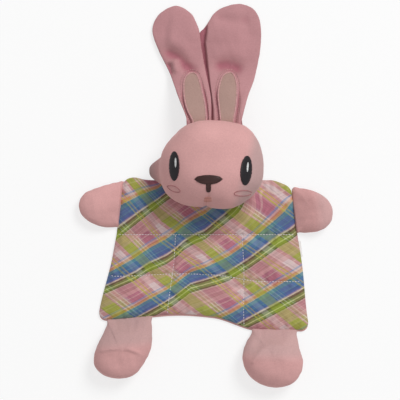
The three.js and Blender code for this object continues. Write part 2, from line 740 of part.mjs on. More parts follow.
function earPatch(ear) {
  const surface = earFrontZ(ear);
  const layer = (height) => (w, t) => {
    const [x, y] = patchPlan(ear, w, t, 0);
    return [x, y, surface(x, y) + height];
  };
  return slab(EAR_PATCH_COLUMNS, PATCH_T, layer(GAP + THREAD_HEIGHT), layer(GAP));
}

function earStitch(ear) {
  const grow = GAP + THREAD_WIDTH / 2;
  const up = PATCH_T.map((t) => patchPlan(ear, 1, t, grow));
  const down = PATCH_T.slice(0, -1).reverse().map((t) => patchPlan(ear, -1, t, grow));
  const foot = [-0.5, 0, 0.5].map((w) => patchPlan(ear, w, PATCH_FOOT_T, grow));
  const middle = patchPlan(ear, 0, mix(PATCH_FOOT_T, PATCH_TOP_T, 0.5), 0);
  return raisedLine(middle, [...up, ...down, ...foot], earFrontZ(ear), THREAD_WIDTH);
}

function earPieces(ear) {
  return [
    piece(`ear_${ear.side}_front_panel`, earPanel(ear, 1), "earVelour"),
    piece(`ear_${ear.side}_back_panel`, earPanel(ear, -1), "earVelour"),
    piece(`ear_${ear.side}_inner_patch`, earPatch(ear), "patchVelour"),
    piece(`ear_${ear.side}_satin_stitch`, earStitch(ear), "pinkThread"),
  ];
}

// Neck: a stub whose round root lies along the neckline and whose top is hollowed to the back of the head,
// wherever the head swivels on it
function neckPiece() {
  const shape = new THREE.Shape();
  shape.moveTo(0, -NECK_HALF_THICKNESS);
  shape.lineTo(NECK_REACH, -NECK_HALF_THICKNESS);
  shape.lineTo(NECK_REACH, NECK_RISE);
  shape.lineTo(NECK_HALF_THICKNESS, NECK_RISE);
  shape.lineTo(0, NECK_HALF_THICKNESS);
  shape.absarc(0, 0, NECK_HALF_THICKNESS, Math.PI / 2, (3 * Math.PI) / 2, false);
  const stub = new THREE.ExtrudeGeometry(shape, { depth: NECK_WIDTH, bevelEnabled: false, curveSegments: 8 });
  stub.rotateZ(Math.PI / 2).rotateY(Math.PI / 2);
  stub.translate(NECK_X - NECK_WIDTH / 2, NECKLINE_Y + GAP + NECK_HALF_THICKNESS, NECK_ROOT_HEIGHT);
  const axis = new THREE.Vector3(0, Math.sin(SWIVEL_TILT), Math.cos(SWIVEL_TILT));
  const pivot = new THREE.Vector3(NECK_X, NECKLINE_Y + SWIVEL_OUT, SWIVEL_Z);
  const turns = [-SWIVEL_LIMIT, 0, SWIVEL_LIMIT];
  const hollowed = turns.reduce((stubLeft, degrees) => {
    const room = padRoom(HEAD);
    room.translate(NECK_X - pivot.x, HEAD_Y - pivot.y, -pivot.z);
    room.applyMatrix4(new THREE.Matrix4().makeRotationAxis(axis, THREE.MathUtils.degToRad(degrees)));
    room.translate(pivot.x, pivot.y, pivot.z);
    return cut(stubLeft, room);
  }, stub);
  return piece("neck", hollowed, "velour");
}

// Limbs: u runs out from the root, w along it
function limbForm({ length, rootWidth, tipWidth, lean, blunt, frontDepth, backDepth, riseRun }) {
  const level = backDepth - REST_FLAT + GAP / 2;
  const rise = (u) => ease(u / riseRun);
  return {
    middle: [length / 2, (lean * length) / 2],
    fullness: LIMB_FULLNESS,
    rings: LIMB_RINGS,
    level: (u) => mix(LIMB_ROOT_HEIGHT, level, rise(u)),
    front: (u) => mix(LIMB_ROOT_HEIGHT, frontDepth, rise(u)),
    back: (u) => mix(LIMB_ROOT_HEIGHT - GAP, backDepth, rise(u)),
    outline(inset) {
      const points = [];
      for (let k = 0; k <= LIMB_TIP_SIDES; k++) {
        const share = (2 * k) / LIMB_TIP_SIDES - 1;
        const a = (Math.PI / 2) * Math.sign(share) * (1 - (1 - Math.abs(share)) ** ROOT_CROWDING);
        const u = inset + (length - 2 * inset) * Math.max(0, Math.cos(a)) ** (2 / blunt);
        const half = mix(rootWidth, tipWidth, ease(u / (TIP_FULL_AT * length))) / 2 - inset;
        points.push([u, half * Math.sign(Math.sin(a)) * Math.abs(Math.sin(a)) ** (2 / blunt) + lean * u]);
      }
      const half = rootWidth / 2 - inset;
      for (let k = 1; k < LIMB_ROOT_SIDES; k++) {
        points.push([inset, mix(half, -half, k / LIMB_ROOT_SIDES) + lean * inset]);
      }
      return points;
    },
  };
}

function limbGroup(name, form, x, y, turn) {
  const group = new THREE.Group();
  group.position.set(x, y, 0);
  group.rotation.z = turn;
  group.add(
    piece(`${name}_front_panel`, padPanel(form, 1), "velour"),
    piece(`${name}_back_panel`, padPanel(form, -1), "velour"),
    piece(`${name}_stuffing`, padStuffing(form), "wadding"),
  );
  return group;
}

function armGroup(arm) {
  const form = limbForm({
    length: arm.length,
    rootWidth: ARM_WIDTH,
    tipWidth: ARM_WIDTH,
    lean: 0,
    blunt: ARM_BLUNT,
    frontDepth: ARM_FRONT_DEPTH,
    backDepth: ARM_BACK_DEPTH,
    riseRun: ARM_RISE_RUN,
  });
  const splay = Math.atan((WAIST_HALF_WIDTH - SHOULDER_HALF_WIDTH) / (SHOULDER_Y - WAIST_Y));
  const turn = arm.side > 0 ? splay : Math.PI - splay;
  const away = GAP / Math.cos(splay);
  const rootY = SHOULDER_Y - arm.belowShoulder;
  return limbGroup(arm.name, form, arm.side * (sideX(rootY) + away), rootY, turn);
}

function legGroup(leg) {
  const form = limbForm({
    length: LEG_LENGTH,
    rootWidth: LEG_ROOT_WIDTH,
    tipWidth: leg.footWidth,
    lean: leg.lean,
    blunt: LEG_BLUNT,
    frontDepth: LEG_FRONT_DEPTH,
    backDepth: LEG_BACK_DEPTH,
    riseRun: LEG_RISE_RUN,
  });
  return limbGroup(leg.name, form, leg.rootX, hemY(leg.rootX) - HEM_PROUD - GAP, -Math.PI / 2);
}

const toy = new THREE.Group();
toy.add(
  blanketFront(),
  blanketBack(),
  blanketWadding(),
  quiltingThread(),
  sideLabel(),
  neckPiece(),
  headGroup(),
  ...ARMS.map(armGroup),
  ...LEGS.map(legGroup),
);

export default toy;
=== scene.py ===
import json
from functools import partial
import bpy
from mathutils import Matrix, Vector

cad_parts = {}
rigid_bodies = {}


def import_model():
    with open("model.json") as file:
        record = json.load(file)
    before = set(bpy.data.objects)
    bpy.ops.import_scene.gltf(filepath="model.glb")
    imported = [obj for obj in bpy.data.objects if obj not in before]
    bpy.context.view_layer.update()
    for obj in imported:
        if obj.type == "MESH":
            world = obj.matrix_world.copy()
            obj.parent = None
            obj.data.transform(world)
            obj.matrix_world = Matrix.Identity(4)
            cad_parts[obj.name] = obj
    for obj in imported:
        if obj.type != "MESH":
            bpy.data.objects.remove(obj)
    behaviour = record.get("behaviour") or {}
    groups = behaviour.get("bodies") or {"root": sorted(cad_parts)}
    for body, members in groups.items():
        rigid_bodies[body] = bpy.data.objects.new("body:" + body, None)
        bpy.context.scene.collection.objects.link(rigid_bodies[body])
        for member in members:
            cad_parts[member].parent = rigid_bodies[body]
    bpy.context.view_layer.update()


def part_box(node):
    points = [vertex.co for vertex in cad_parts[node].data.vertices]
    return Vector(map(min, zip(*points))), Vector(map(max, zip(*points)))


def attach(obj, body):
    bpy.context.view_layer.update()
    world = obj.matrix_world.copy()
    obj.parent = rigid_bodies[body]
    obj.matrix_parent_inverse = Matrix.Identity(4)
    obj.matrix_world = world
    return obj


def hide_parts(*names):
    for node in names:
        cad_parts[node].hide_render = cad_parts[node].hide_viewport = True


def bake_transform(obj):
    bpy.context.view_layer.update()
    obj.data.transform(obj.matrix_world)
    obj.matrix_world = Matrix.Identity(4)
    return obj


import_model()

# Plush rabbit comfort blanket, lying on its back. Lengths in the functions are millimetres, in the frame's axes:
# +X is the toy's own left, +Y runs from the hem to the ears, +Z comes out of the face.
from types import SimpleNamespace

import bpy
import numpy as np
from bpy.props import FloatProperty, FloatVectorProperty, PointerProperty
from mathutils import Vector

bl_info = {
    "name": "Rabbit Comfort Blanket",
    "version": (1, 0, 0),
    "blender": (4, 5, 0),
    "location": "View3D > Sidebar > Comfort Blanket",
    "description": "Sews a plush rabbit comfort blanket, one piece at a time",
    "category": "Object",
}

MM = 0.001
TURN = 2 * np.pi


def linear(hex_colour):
    """An sRGB hex colour as linear RGBA."""
    srgb = np.array([int(hex_colour[i : i + 2], 16) / 255 for i in (1, 3, 5)])
    light = np.where(srgb <= 0.04045, srgb / 12.92, ((srgb + 0.055) / 1.055) ** 2.4)
    return (*light.tolist(), 1.0)


def node_box(name):
    """A CAD node's lowest and highest corners at rest, in millimetres."""
    low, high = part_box(name)
    return np.array(low) / MM, np.array(high) / MM


# ---- sizes and colours that a user would change
def length(name, description, millimetres):
    """A length property."""
    return FloatProperty(name=name, description=description, default=millimetres * MM, unit="LENGTH", precision=5)


def colour(name, description, hex_colour):
    """A colour property."""
    return FloatVectorProperty(
        name=name, description=description, subtype="COLOR", size=4, min=0, max=1, default=linear(hex_colour)
    )


class ComforterSizes(bpy.types.PropertyGroup):
    """Sizes of the cloth, the stuffing and the stitches."""

    quilt_puff: length("Quilt puff", "How far a quilted cell stands above its stitching", 3.4)
    pucker: length("Pucker", "Height of the small puckers along a sewn line", 0.55)
    thread: length("Thread", "Width of a quilting stitch", 0.62)
    stitch: length("Stitch", "Length of one quilting stitch", 2.6)
    satin_pitch: length("Satin pitch", "Spacing of the satin-stitch threads", 0.75)
    seam_dip: length("Seam dip", "How far a sewn seam draws the stuffing in", 1.1)
    ear_puff: length("Ear puff", "How far an ear's cloth stands off its seam", 1.9)


class ComforterColours(bpy.types.PropertyGroup):
    """Colours of the cloths and threads."""

    velour: colour("Velour", "Head, arms and legs", "#D4A2A0")
    # Painted shade: the ears' velour is the head's pink darkened
    ear: colour("Ear velour", "Both ears", "#BB8A8D")
    patch: colour("Inner ear", "Appliqué patch in each ear", "#AC8D84")
    eye: colour("Eye thread", "Satin stitch of the eyes", "#1A161A")
    glint: colour("Glint thread", "Light stitch on each eye", "#CFCFCF")
    nose: colour("Nose thread", "Satin stitch of the nose", "#38211F")
    mauve: colour("Mauve thread", "Cheek stitching", "#A66E70")
    mouth: colour("Mouth thread", "The small mouth patch", "#C68C84")
    edging: colour("Edging thread", "Satin stitch round the inner ears", "#BE9190")
    quilting: colour("Quilting thread", "Lines sewn through the blanket", "#DDD6D8")
    label: colour("Label tape", "Blank side label", "#EFECEA")


# ---- numbers shared by the pieces, in millimetres; most are the CAD model's own
HEM_Y, SHOULDER_Y = -62.0, 66.0
SHOULDER_HALF, WAIST_HALF, HEM_HALF = 78.0, 83.0, 96.0
HEM_DROP = 9.5
CORNER = 7.0
# The sewn lines, as shares of the blanket's width and height
QUILT_ACROSS, QUILT_UP = (0.327, 0.693), (0.31, 0.61)
WAIST_Y = HEM_Y + (SHOULDER_Y - HEM_Y) * QUILT_UP[1]
NECK_X, NECKLINE_Y, NECKLINE_FLAT, NECKLINE_HALF = 4.0, 50.0, 24.0, 40.0
HEAD_MIDDLE = np.array([NECK_X, 79.3])
HEAD_LEVEL = 29.65
FACE_DEPTH, BACK_DEPTH = 34.0, 30.0
EAR_ROOT_Y, EAR_REST_Z, EAR_SLOPE_RUN = 115.9, 3.05, 57.0


# ---- shaping helpers
def ease(t):
    """Smoothstep: 0 up to 0, 1 from 1, three t squared less two t cubed between."""
    t = np.clip(t, 0, 1)
    return t * t * (3 - 2 * t)


def mix(a, b, t):
    """From a to b by the share t."""
    return a + (b - a) * t


def bell(distance, width):
    """1 at distance 0, falling away as a Gaussian of that width."""
    return np.exp(-((distance / width) ** 2))


def dome(share, power):
    """Height of a dome by the share of the way out: the square root of one less that share to a power."""
    return np.sqrt(np.clip(1 - share**power, 0, 1))


def stacked(*parts):
    """Arrays brought to one shape and stacked along a new last axis: points from their x, y and z."""
    return np.stack(np.broadcast_arrays(*parts), -1)


def unit(vectors, least=0.0):
    """Vectors (..., n) divided by their lengths, or by least where that is greater."""
    return vectors / np.maximum(np.linalg.norm(vectors, axis=-1, keepdims=True), least)


def placed(place, x, y, angle):
    """x and y turned by an angle, then moved to a place."""
    return place[0] + x * np.cos(angle) - y * np.sin(angle), place[1] + x * np.sin(angle) + y * np.cos(angle)


def rumple(points, wavelength, seed, waves=7):
    """A smooth field over points (..., n), about -1 to 1: a sum of sine waves of about one wavelength, whose
    directions, phases and lengths come from a seeded draw."""
    draw = np.random.default_rng(seed)
    heading = unit(draw.normal(size=(waves, points.shape[-1])))
    heading = heading * (TURN / (wavelength * draw.uniform(0.7, 1.5, (waves, 1))))
    phase = draw.uniform(0, TURN, waves)
    return np.sin(points @ heading.T + phase).sum(-1) * 0.8 / np.sqrt(waves)


def grid_quads(rows, columns, around=False):
    """Quads between the points of a grid stored row by row; around joins the last column to the first."""
    start = np.arange(rows - 1)[:, None] * columns
    here = np.arange(columns if around else columns - 1)[None, :]
    after = (here + 1) % columns
    corners = [start + here, start + after, start + columns + after, start + columns + here]
    return np.stack(corners, axis=-1).reshape(-1, 4)


def add_to_scene(name, data, place=(0, 0, 0)):
    """An object that holds the data, linked into the scene at a place (m)."""
    made = bpy.data.objects.new(name, data)
    made.location = place
    bpy.context.scene.collection.objects.link(made)
    return made


def make_mesh(name, points, faces, uv=None, material=None, outward=True):
    """A mesh object from points (mm) and a list of face arrays. Faces of a closed shell are turned outwards by the
    sign of the volume they enclose."""
    if outward:
        inside = 0.0
        for block in faces:
            a, b, c = points[block[:, 0]], points[block[:, 1]], points[block[:, 2]]
            inside += np.einsum("ij,ij->", a, np.cross(b, c))
            if block.shape[1] == 4:
                inside += np.einsum("ij,ij->", a, np.cross(c, points[block[:, 3]]))
        if inside < 0:
            faces = [block[:, ::-1] for block in faces]
    mesh = bpy.data.meshes.new(name)
    mesh.from_pydata((points * MM).tolist(), [], [face for block in faces for face in block.tolist()])
    mesh.polygons.foreach_set("use_smooth", np.ones(len(mesh.polygons), bool))
    if uv is not None:
        corner = np.zeros(len(mesh.loops), np.int32)
        mesh.loops.foreach_get("vertex_index", corner)
        mesh.uv_layers.new(name="Cloth").data.foreach_set("uv", uv[corner].ravel())
    mesh.update()
    if material is not None:
        mesh.materials.append(material)
    return add_to_scene(name, mesh)


def by_point(field):
    """Values on rings (rows, columns, ...) whose first and last rings are poles, as one value for each point."""
    return np.concatenate([field[0, :1], field[1:-1].reshape(-1, *field.shape[2:]), field[-1, :1]])


def closed_rings(rings):
    """Points and faces of a closed surface through rings (rows, columns, 3) whose first and last rings are poles."""
    rows, columns = rings.shape[:2]
    points = by_point(rings)
    inner = grid_quads(rows - 2, columns, around=True) + 1
    k = np.arange(columns)
    first = stacked(0, 1 + (k + 1) % columns, 1 + k)
    base = 1 + (rows - 3) * columns
    last = stacked(len(points) - 1, base + k, base + (k + 1) % columns)
    return points, [first, inner, last]


def joined(parts):
    """Several shells, each (points, faces, map), as the points, faces and map of one mesh."""
    points, faces, uvs, offset = [], [], [], 0
    for own_points, own_faces, uv in parts:
        points.append(own_points)
        faces += [block + offset for block in own_faces]
        uvs.append(uv)
        offset += len(own_points)
    return np.concatenate(points), faces, np.concatenate(uvs)


def path_reach(path):
    """How far along a path (n, 2 or 3) each of its points lies."""
    return np.concatenate([[0], np.cumsum(np.linalg.norm(np.diff(path, axis=0), axis=1))])


def smooth_loop(corners, count):
    """A closed curve through the corners: a Catmull-Rom curve, then evenly spaced along its length."""
    p = np.array(corners, float)
    t = np.linspace(0, 1, 40, endpoint=False)[None, :, None]
    a, b, c, d = (np.roll(p, shift, 0)[:, None, :] for shift in (1, 0, -1, -2))
    curve = 0.5 * (2 * b + (c - a) * t + (2 * a - 5 * b + 4 * c - d) * t**2 + (3 * b - a - 3 * c + d) * t**3)
    loop = np.concatenate([curve.reshape(-1, 2), curve[0, :1]])
    reach = path_reach(loop)
    at = np.linspace(0, reach[-1], count, endpoint=False)
    return stacked(*(np.interp(at, reach, loop[:, axis]) for axis in (0, 1)))


def share_out(x, y, outline, middle):
    """How far out from the middle a point is, as a share of the way to the outline in its direction."""
    away = outline - middle
    reach = np.interp(
        np.arctan2(y - middle[1], x - middle[0]),
        np.arctan2(away[:, 1], away[:, 0]),
        np.hypot(away[:, 0], away[:, 1]),
        period=TURN,
    )
    return np.hypot(x - middle[0], y - middle[1]) / reach


def cushion_rings(outline, middle, front, back, rows):
    """Rings of a closed cushion, from the middle of its front over the seam to the middle of its back, closest
    together at the seam. front and back give heights from x, y and the share of the way out. Also gives the
    shares."""
    swing = np.linspace(0, np.pi, 2 * rows + 1)
    share = np.repeat(np.sin(swing + 0.35 * np.sin(2 * swing))[:, None], len(outline), axis=1)
    share[[0, rows, -1]] = [[0.0], [1.0], [0.0]]
    x, y = (middle[axis] + share * (outline[None, :, axis] - middle[axis]) for axis in (0, 1))
    halves = ((front, slice(rows + 1)), (back, slice(rows + 1, None)))
    z = np.concatenate([height(x[half], y[half], share[half]) for height, half in halves])
    return stacked(x, y, z), share


def draw_in_seam(rings, share, middle, level, dip, pucker, seed):
    """Draws the cloth in along the seam, where its height is level, and puckers it beside the stitches."""
    out = unit(rings[..., :2] - middle, least=1.0)
    off = rings[..., 2] - level
    edge = bell(share - 1, 0.12)
    wave = pucker * rumple(rings[..., :2], 7.0, seed) * bell(off, 4.5)
    rings[..., :2] += out * ((wave - dip * bell(off, 1.1)) * edge)[..., None]
    return rings


def spread_out(field, rows, columns):
    """A field on a few rings, pole to pole, as smooth values on more of them: Fourier sums round each ring and
    along each pair of opposite meridians, which close over the poles."""
    across = np.roll(field, field.shape[1] // 2, axis=1)[-2:0:-1]
    loop = np.concatenate([field, across])
    for axis, count in ((0, 2 * (rows - 1)), (1, columns)):
        waves = np.fft.rfft(loop, axis=axis)
        loop = np.fft.irfft(waves, n=count, axis=axis) * (count / loop.shape[axis])
    return loop[:rows]


def own_points(mesh):
    """A mesh's points in millimetres."""
    flat = np.empty(3 * len(mesh.vertices), np.float32)
    mesh.vertices.foreach_get("co", flat)
    return flat.reshape(-1, 3) / MM


# The limbs' cloth simulation: the spacing of its even mesh, the width over which a point's move is spread and the
# furthest move (mm); its frames and the steps in each; a point's mass (kg), the cloth's stiffness and the pressure
SWELL_SPACING, SWELL_SPREAD, SWELL_CAP = 4.5, 4.0, 5.0
SWELL_FRAMES, SWELL_STEPS = 20, 6
SWELL_MASS, SWELL_TENSION, SWELL_BENDING, SWELL_PRESSURE = 0.001, 0.45, 1.0, 4.0


def swelled(rings, hold):
    """Cloth simulation of a stuffed piece on an even copy of its mesh: air pressure pushes the cloth out, while the
    points that hold(points) picks stay where they are. Gives the rings moved by that, smoothed over a few
    millimetres and capped."""
    pad = make_mesh("Simulated cover", *closed_rings(rings[::2, ::2]))
    remesh = pad.modifiers.new("Even mesh", "REMESH")
    remesh.mode, remesh.voxel_size = "VOXEL", SWELL_SPACING * MM
    pad.data = bpy.data.meshes.new_from_object(pad.evaluated_get(bpy.context.evaluated_depsgraph_get()))
    pad.modifiers.clear()
    before = own_points(pad.data)
    grip = pad.vertex_groups.new(name="Held")
    grip.add(np.flatnonzero(hold(before)).tolist(), 1.0, "REPLACE")
    cloth = pad.modifiers.new("Cover cloth", "CLOTH")
    fabric = cloth.settings
    fabric.quality = SWELL_STEPS
    fabric.mass = SWELL_MASS
    fabric.tension_stiffness = fabric.compression_stiffness = fabric.shear_stiffness = SWELL_TENSION
    fabric.bending_stiffness = SWELL_BENDING
    fabric.use_pressure = True
    fabric.uniform_pressure_force = SWELL_PRESSURE
    fabric.effector_weights.gravity = 0
    fabric.vertex_group_mass = grip.name
    cloth.point_cache.frame_start, cloth.point_cache.frame_end = 1, SWELL_FRAMES
    for number in range(1, SWELL_FRAMES + 1):
        bpy.context.scene.frame_set(number)
    moved = own_points(pad.evaluated_get(bpy.context.evaluated_depsgraph_get()).to_mesh()) - before
    bpy.data.objects.remove(pad)
    bpy.context.scene.frame_set(1)
    far = np.linalg.norm(moved, axis=1, keepdims=True)
    moved = moved * SWELL_CAP * np.tanh(far / SWELL_CAP) / np.maximum(far, 1e-6)
    # The moves are worked out at every fifth ring and every third place round it, then spread to all of them
    apart = np.linalg.norm(rings[::5, ::3, None] - before, axis=-1)
    share = bell(apart, SWELL_SPREAD)
    field = share @ moved / share.sum(-1, keepdims=True)
    return rings + spread_out(field, *rings.shape[:2])


def near_path(x, y, path):
    """Distance from points to a broken line, and how far along it the nearest place is (0 to 1)."""
    nearest, along, done = np.full(np.shape(x), np.inf), np.zeros(np.shape(x)), 0.0
    total = sum(np.hypot(bx - ax, by - ay) for (ax, ay), (bx, by) in zip(path[:-1], path[1:]))
    for (ax, ay), (bx, by) in zip(path[:-1], path[1:]):
        span = np.hypot(bx - ax, by - ay)
        t = np.clip(((x - ax) * (bx - ax) + (y - ay) * (by - ay)) / span**2, 0, 1)
        distance = np.hypot(x - ax - t * (bx - ax), y - ay - t * (by - ay))
        along = np.where(distance < nearest, (done + t * span) / total, along)
        nearest = np.minimum(nearest, distance)
        done += span
    return nearest, along


def creased(x, y, creases):
    """Sum of folds, each (height, width, path): a rounded ridge or, with a height below 0, a valley along a path.
    It dies out over the last two fifths of the path."""
    total = 0.0
    for height, width, path in creases:
        distance, along = near_path(x, y, path)
        total = total + height * bell(distance, width) * ease((1.04 - along) / 0.4)
    return total


def add_piece(name, shell, material, body, slot, *nodes, bend=None):
    """Makes a piece of the toy from (points, faces) or (points, faces, map) and stands it for its CAD nodes, which it
    hides; without bend it rides on its body. slot, its record slot, is not used. bend holds the body that it grows
    from and the two places (m) where a bend starts and ends; given bend, the piece rides on no body and does not
    bend."""
    piece = make_mesh(name, *shell, material=material)
    if bend is None:
        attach(piece, body)
    else:
        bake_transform(piece)
    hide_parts(*nodes)
    return piece


# ---- materials
def add_node(tree, kind, inputs=None, **settings):
    """Adds a shader node: settings are its own properties, and inputs maps a socket to a value, to an output, or to
    a node, which stands for its first output in use."""
    made = tree.nodes.new("ShaderNode" + kind)
    for name, value in settings.items():
        setattr(made, name, value)
    for socket, value in (inputs or {}).items():
        if isinstance(value, bpy.types.Node):
            value = next(output for output in value.outputs if output.enabled)
        if isinstance(value, bpy.types.NodeSocket):
            tree.links.new(value, made.inputs[socket])
        else:
            made.inputs[socket].default_value = value
    return made


def start_material(name):
    """A node material, emptied where one is already made under that name, and add_node for its tree."""
    material = bpy.data.materials.get(name) or bpy.data.materials.new(name)
    material.use_nodes = True
    material.node_tree.nodes.clear()
    return material, partial(add_node, material.node_tree)


def close_material(node, tint, height, depth, **shader):
    """Puts colour and bump (height 0 to 1, depth in mm) on one shader, whose plain numbers go on its own sockets."""
    bump = node("Bump", {"Height": height, "Distance": depth * MM, "Strength": 1.0})
    sockets = {"Base Color": tint, "Normal": bump, "Metallic": 0.0}
    sockets |= {name.replace("_", " "): value for name, value in shader.items()}
    node("OutputMaterial", {"Surface": node("BsdfPrincipled", sockets)})


def shaded(tint, share):
    """A linear colour times share, its alpha kept."""
    return (*(np.array(tint[:3]) * share).tolist(), 1.0)


# The velour's pile as drawn, the width of its rubbed patches and the depth of its nap, in millimetres, and what its
# colour is multiplied by for painted sheen and shade, which make it greyer and darker
PILE, RUBBED, NAP_DEPTH = 1.3, 34.0, 0.1
PAINTED_SHEEN_SHADE = (0.85, 0.98, 0.98, 1.0)


def velour(name, tint, shade_tint=None):
    """Sheared-pile cotton velour: matt, with a soft light rim where the pile stands on edge, a fine nap (drawn
    coarser than the real 0.3 mm), and faint darker patches, some centimetres wide, where the pile lies over. With
    a shade tint, painted shade: the colour goes over to that tint where the mesh's painted-shade attribute is above
    0, which darkens creases and parts lying in shade. Where the mesh's painted sheen-and-shade attribute is above 0,
    painted sheen and shade make the pile greyer and darker."""
    material, node = start_material(name)
    place = node("TexCoord").outputs["Object"]
    nap = node("TexNoise", {"Vector": place, "Scale": 1 / (PILE * MM), "Detail": 3.0, "Roughness": 0.65})
    lie = node("TexNoise", {"Vector": place, "Scale": 1 / (RUBBED * MM), "Detail": 2.0, "Roughness": 0.5})
    patch = node("MapRange", {"Value": lie, "From Min": 0.34, "From Max": 0.66})
    fleck = node("MapRange", {"Value": nap, "From Min": 0.32, "From Max": 0.68})
    worn = node("Mix", {0: patch, 6: shaded(tint, 0.95), 7: shaded(tint, 1.03)}, data_type="RGBA")
    flecked = node("Mix", {0: fleck, 6: (0.94, 0.93, 0.93, 1), 7: (1.04, 1.04, 1.04, 1)}, data_type="RGBA")
    pile = node("Mix", {0: 1.0, 6: worn, 7: flecked}, data_type="RGBA", blend_type="MULTIPLY")
    # Painted shade: the colour goes over to the shade tint where the mesh marks it
    if shade_tint is not None:
        shade_share = node("Attribute", attribute_name="PaintedShade").outputs["Fac"]
        pile = node("Mix", {0: shade_share, 6: pile, 7: linear(shade_tint)}, data_type="RGBA")
    # Painted sheen and shade: where the mesh marks it, the colour is multiplied greyer and darker
    turned = node("Attribute", attribute_name="PaintedSheenShade").outputs["Fac"]
    pile = node("Mix", {0: turned, 6: pile, 7: PAINTED_SHEEN_SHADE}, data_type="RGBA", blend_type="MULTIPLY")
    sheen = {"Sheen_Weight": 0.3, "Sheen_Roughness": 0.35, "Sheen_Tint": linear("#E3D3D0")}
    close_material(node, pile, nap, NAP_DEPTH, Roughness=0.92, Specular_IOR_Level=0.2, **sheen)
    return material


def pink_velour(colours):
    """The velour of the head, the limbs and the lining, greyer and darker where painted sheen and shade are marked,
    and with a grey-brown tint for painted shade.
    """
    return velour("Pink cotton velour", colours.velour, shade_tint="#8C7B7A")


def mark(piece, attribute, share):
    """Stores a share for each point, 0 to 1, for the velour: how much painted shade it takes, which darkens creases
    and shaded parts, or how much painted sheen and shade make its pile greyer and darker."""
    piece.data.attributes.new(attribute, "FLOAT", "POINT").data.foreach_set("value", share.astype(np.float32))


# Where each band of the plaid starts, as a share of the repeat, its colour, and how strongly it covers the other way
RISING_BANDS = (
    (0.0, "#BDC882", 0.5),
    (0.008, "#6E8A36", 0.45),
    (0.045, "#57602A", 0.45),
    (0.07, "#C6AE9E", 0.4),
    (0.085, "#BE8C8C", 0.45),
    (0.17, "#CBA09C", 0.45),
    (0.182, "#BE8B8A", 0.45),
    (0.24, "#A98074", 0.4),
    (0.25, "#CA9A98", 0.45),
    (0.335, "#C49898", 0.08),
    (0.4, "#D0B2A8", 0.15),
    (0.425, "#C29090", 0.08),
    (0.53, "#7E8CAE", 0.3),
    (0.56, "#CBAA9C", 0.25),
    (0.59, "#C4875A", 0.35),
    (0.62, "#BC9E58", 0.35),
    (0.645, "#A9A494", 0.4),
    (0.655, "#458392", 0.85),
    (0.72, "#3E6E98", 0.95),
    (0.8, "#468292", 0.85),
    (0.812, "#386496", 0.95),
    (0.875, "#77709A", 0.7),
    (0.89, "#C4BEA4", 0.35),
    (0.915, "#4C5626", 0.45),
    (0.95, "#6A8636", 0.45),
    (0.992, "#BDC882", 0.5),
)
FALLING_BANDS = (
    (0.0, "#DCCCCC", 0.15),
    (0.065, "#BE8E8E", 0.06),
    (0.13, "#9AA23C", 0.62),
    (0.33, "#BE8E8E", 0.06),
    (0.35, "#CCC8A8", 0.25),
    (0.366, "#A2A054", 0.22),
    (0.41, "#CCC8A8", 0.25),
    (0.426, "#B0946E", 0.1),
    (0.47, "#CFC9B4", 0.2),
    (0.486, "#A87A90", 0.1),
    (0.52, "#A65672", 0.16),
    (0.74, "#B47C88", 0.08),
    (0.78, "#B6AC50", 0.8),
    (0.805, "#C09688", 0.1),
    (0.85, "#C0A054", 0.7),
    (0.872, "#BE8E8E", 0.06),
    (0.935, "#DCCCCC", 0.15),
)
THREADS_IN_REPEAT = 46


def set_bands(node, bands):
    """Gives a colour ramp sharp-edged bands; each band's cover is kept in its alpha."""
    ramp = node.color_ramp
    ramp.interpolation = "CONSTANT"
    while len(ramp.elements) > 1:
        ramp.elements.remove(ramp.elements[-1])
    for index, (start, tint, cover) in enumerate(bands):
        element = ramp.elements.new(start) if index else ramp.elements[0]
        element.position = start
        element.color = (*linear(tint)[:3], cover)


def plaid_cotton():
    """Yarn-dyed plaid cotton: two sets of bands that cross in the cloth's own directions, each crossing shaded
    between its two colours as woven yarns are. The 0.35 mm yarns are drawn about 0.9 mm apart, so that they show."""
    material, node = start_material("Yarn-dyed plaid cotton")
    cloth = node("UVMap", uv_map="Cloth")
    place = node("TexCoord").outputs["Object"]
    fray = node("TexNoise", {"Vector": place, "Scale": 1 / (2.2 * MM), "Detail": 2.0})
    drawn = node("Math", {0: fray, 1: 0.016, 2: -0.008}, operation="MULTIPLY_ADD")
    axes = node("SeparateXYZ", {0: cloth}).outputs
    ways, yarns, streaks = [], [], []
    for axis, bands in enumerate((RISING_BANDS, FALLING_BANDS)):
        shifted = node("Math", {0: axes[axis], 1: drawn}, operation="ADD")
        ways.append(node("ValToRGB", {0: node("Math", {0: shifted}, operation="FRACT")}))
        set_bands(ways[axis], bands)
        count = node("Math", {0: axes[axis], 1: TURN * THREADS_IN_REPEAT}, operation="MULTIPLY")
        yarns.append(node("Math", {0: count}, operation="SINE"))
        scale = [2.0, 2.0, 1.0]
        scale[axis] = 34.0
        along = node("Mapping", {0: cloth, 3: scale})
        streaks.append(node("TexNoise", {"Vector": along, "Scale": 1.0, "Detail": 1.0}))
    covers = [way.outputs["Alpha"] for way in ways]
    total = node("Math", {0: covers[0], 1: covers[1]}, operation="ADD")
    cover = node("Math", {0: covers[1], 1: total}, operation="DIVIDE")
    woven = node("Mix", {0: cover, 6: ways[0], 7: ways[1]}, data_type="RGBA")
    weave = node("Math", {0: yarns[0], 1: yarns[1]}, operation="MULTIPLY")
    streak = node("Math", {0: streaks[0], 1: streaks[1]}, operation="ADD")
    relief = node("Math", {0: weave, 1: 0.5, 2: 0.5}, operation="MULTIPLY_ADD")
    tone = node("MapRange", {0: streak, 1: 0.75, 2: 1.25, 3: 0.86, 4: 1.12})
    grain = node("MapRange", {0: relief, 3: 0.96, 4: 1.03})
    light = node("Math", {0: tone, 1: grain}, operation="MULTIPLY")
    shade = node("VectorMath", {0: woven, "Scale": light}, operation="SCALE")
    close_material(node, shade, relief, 0.05, Roughness=0.85, Specular_IOR_Level=0.25, Sheen_Weight=0.08)
    return material


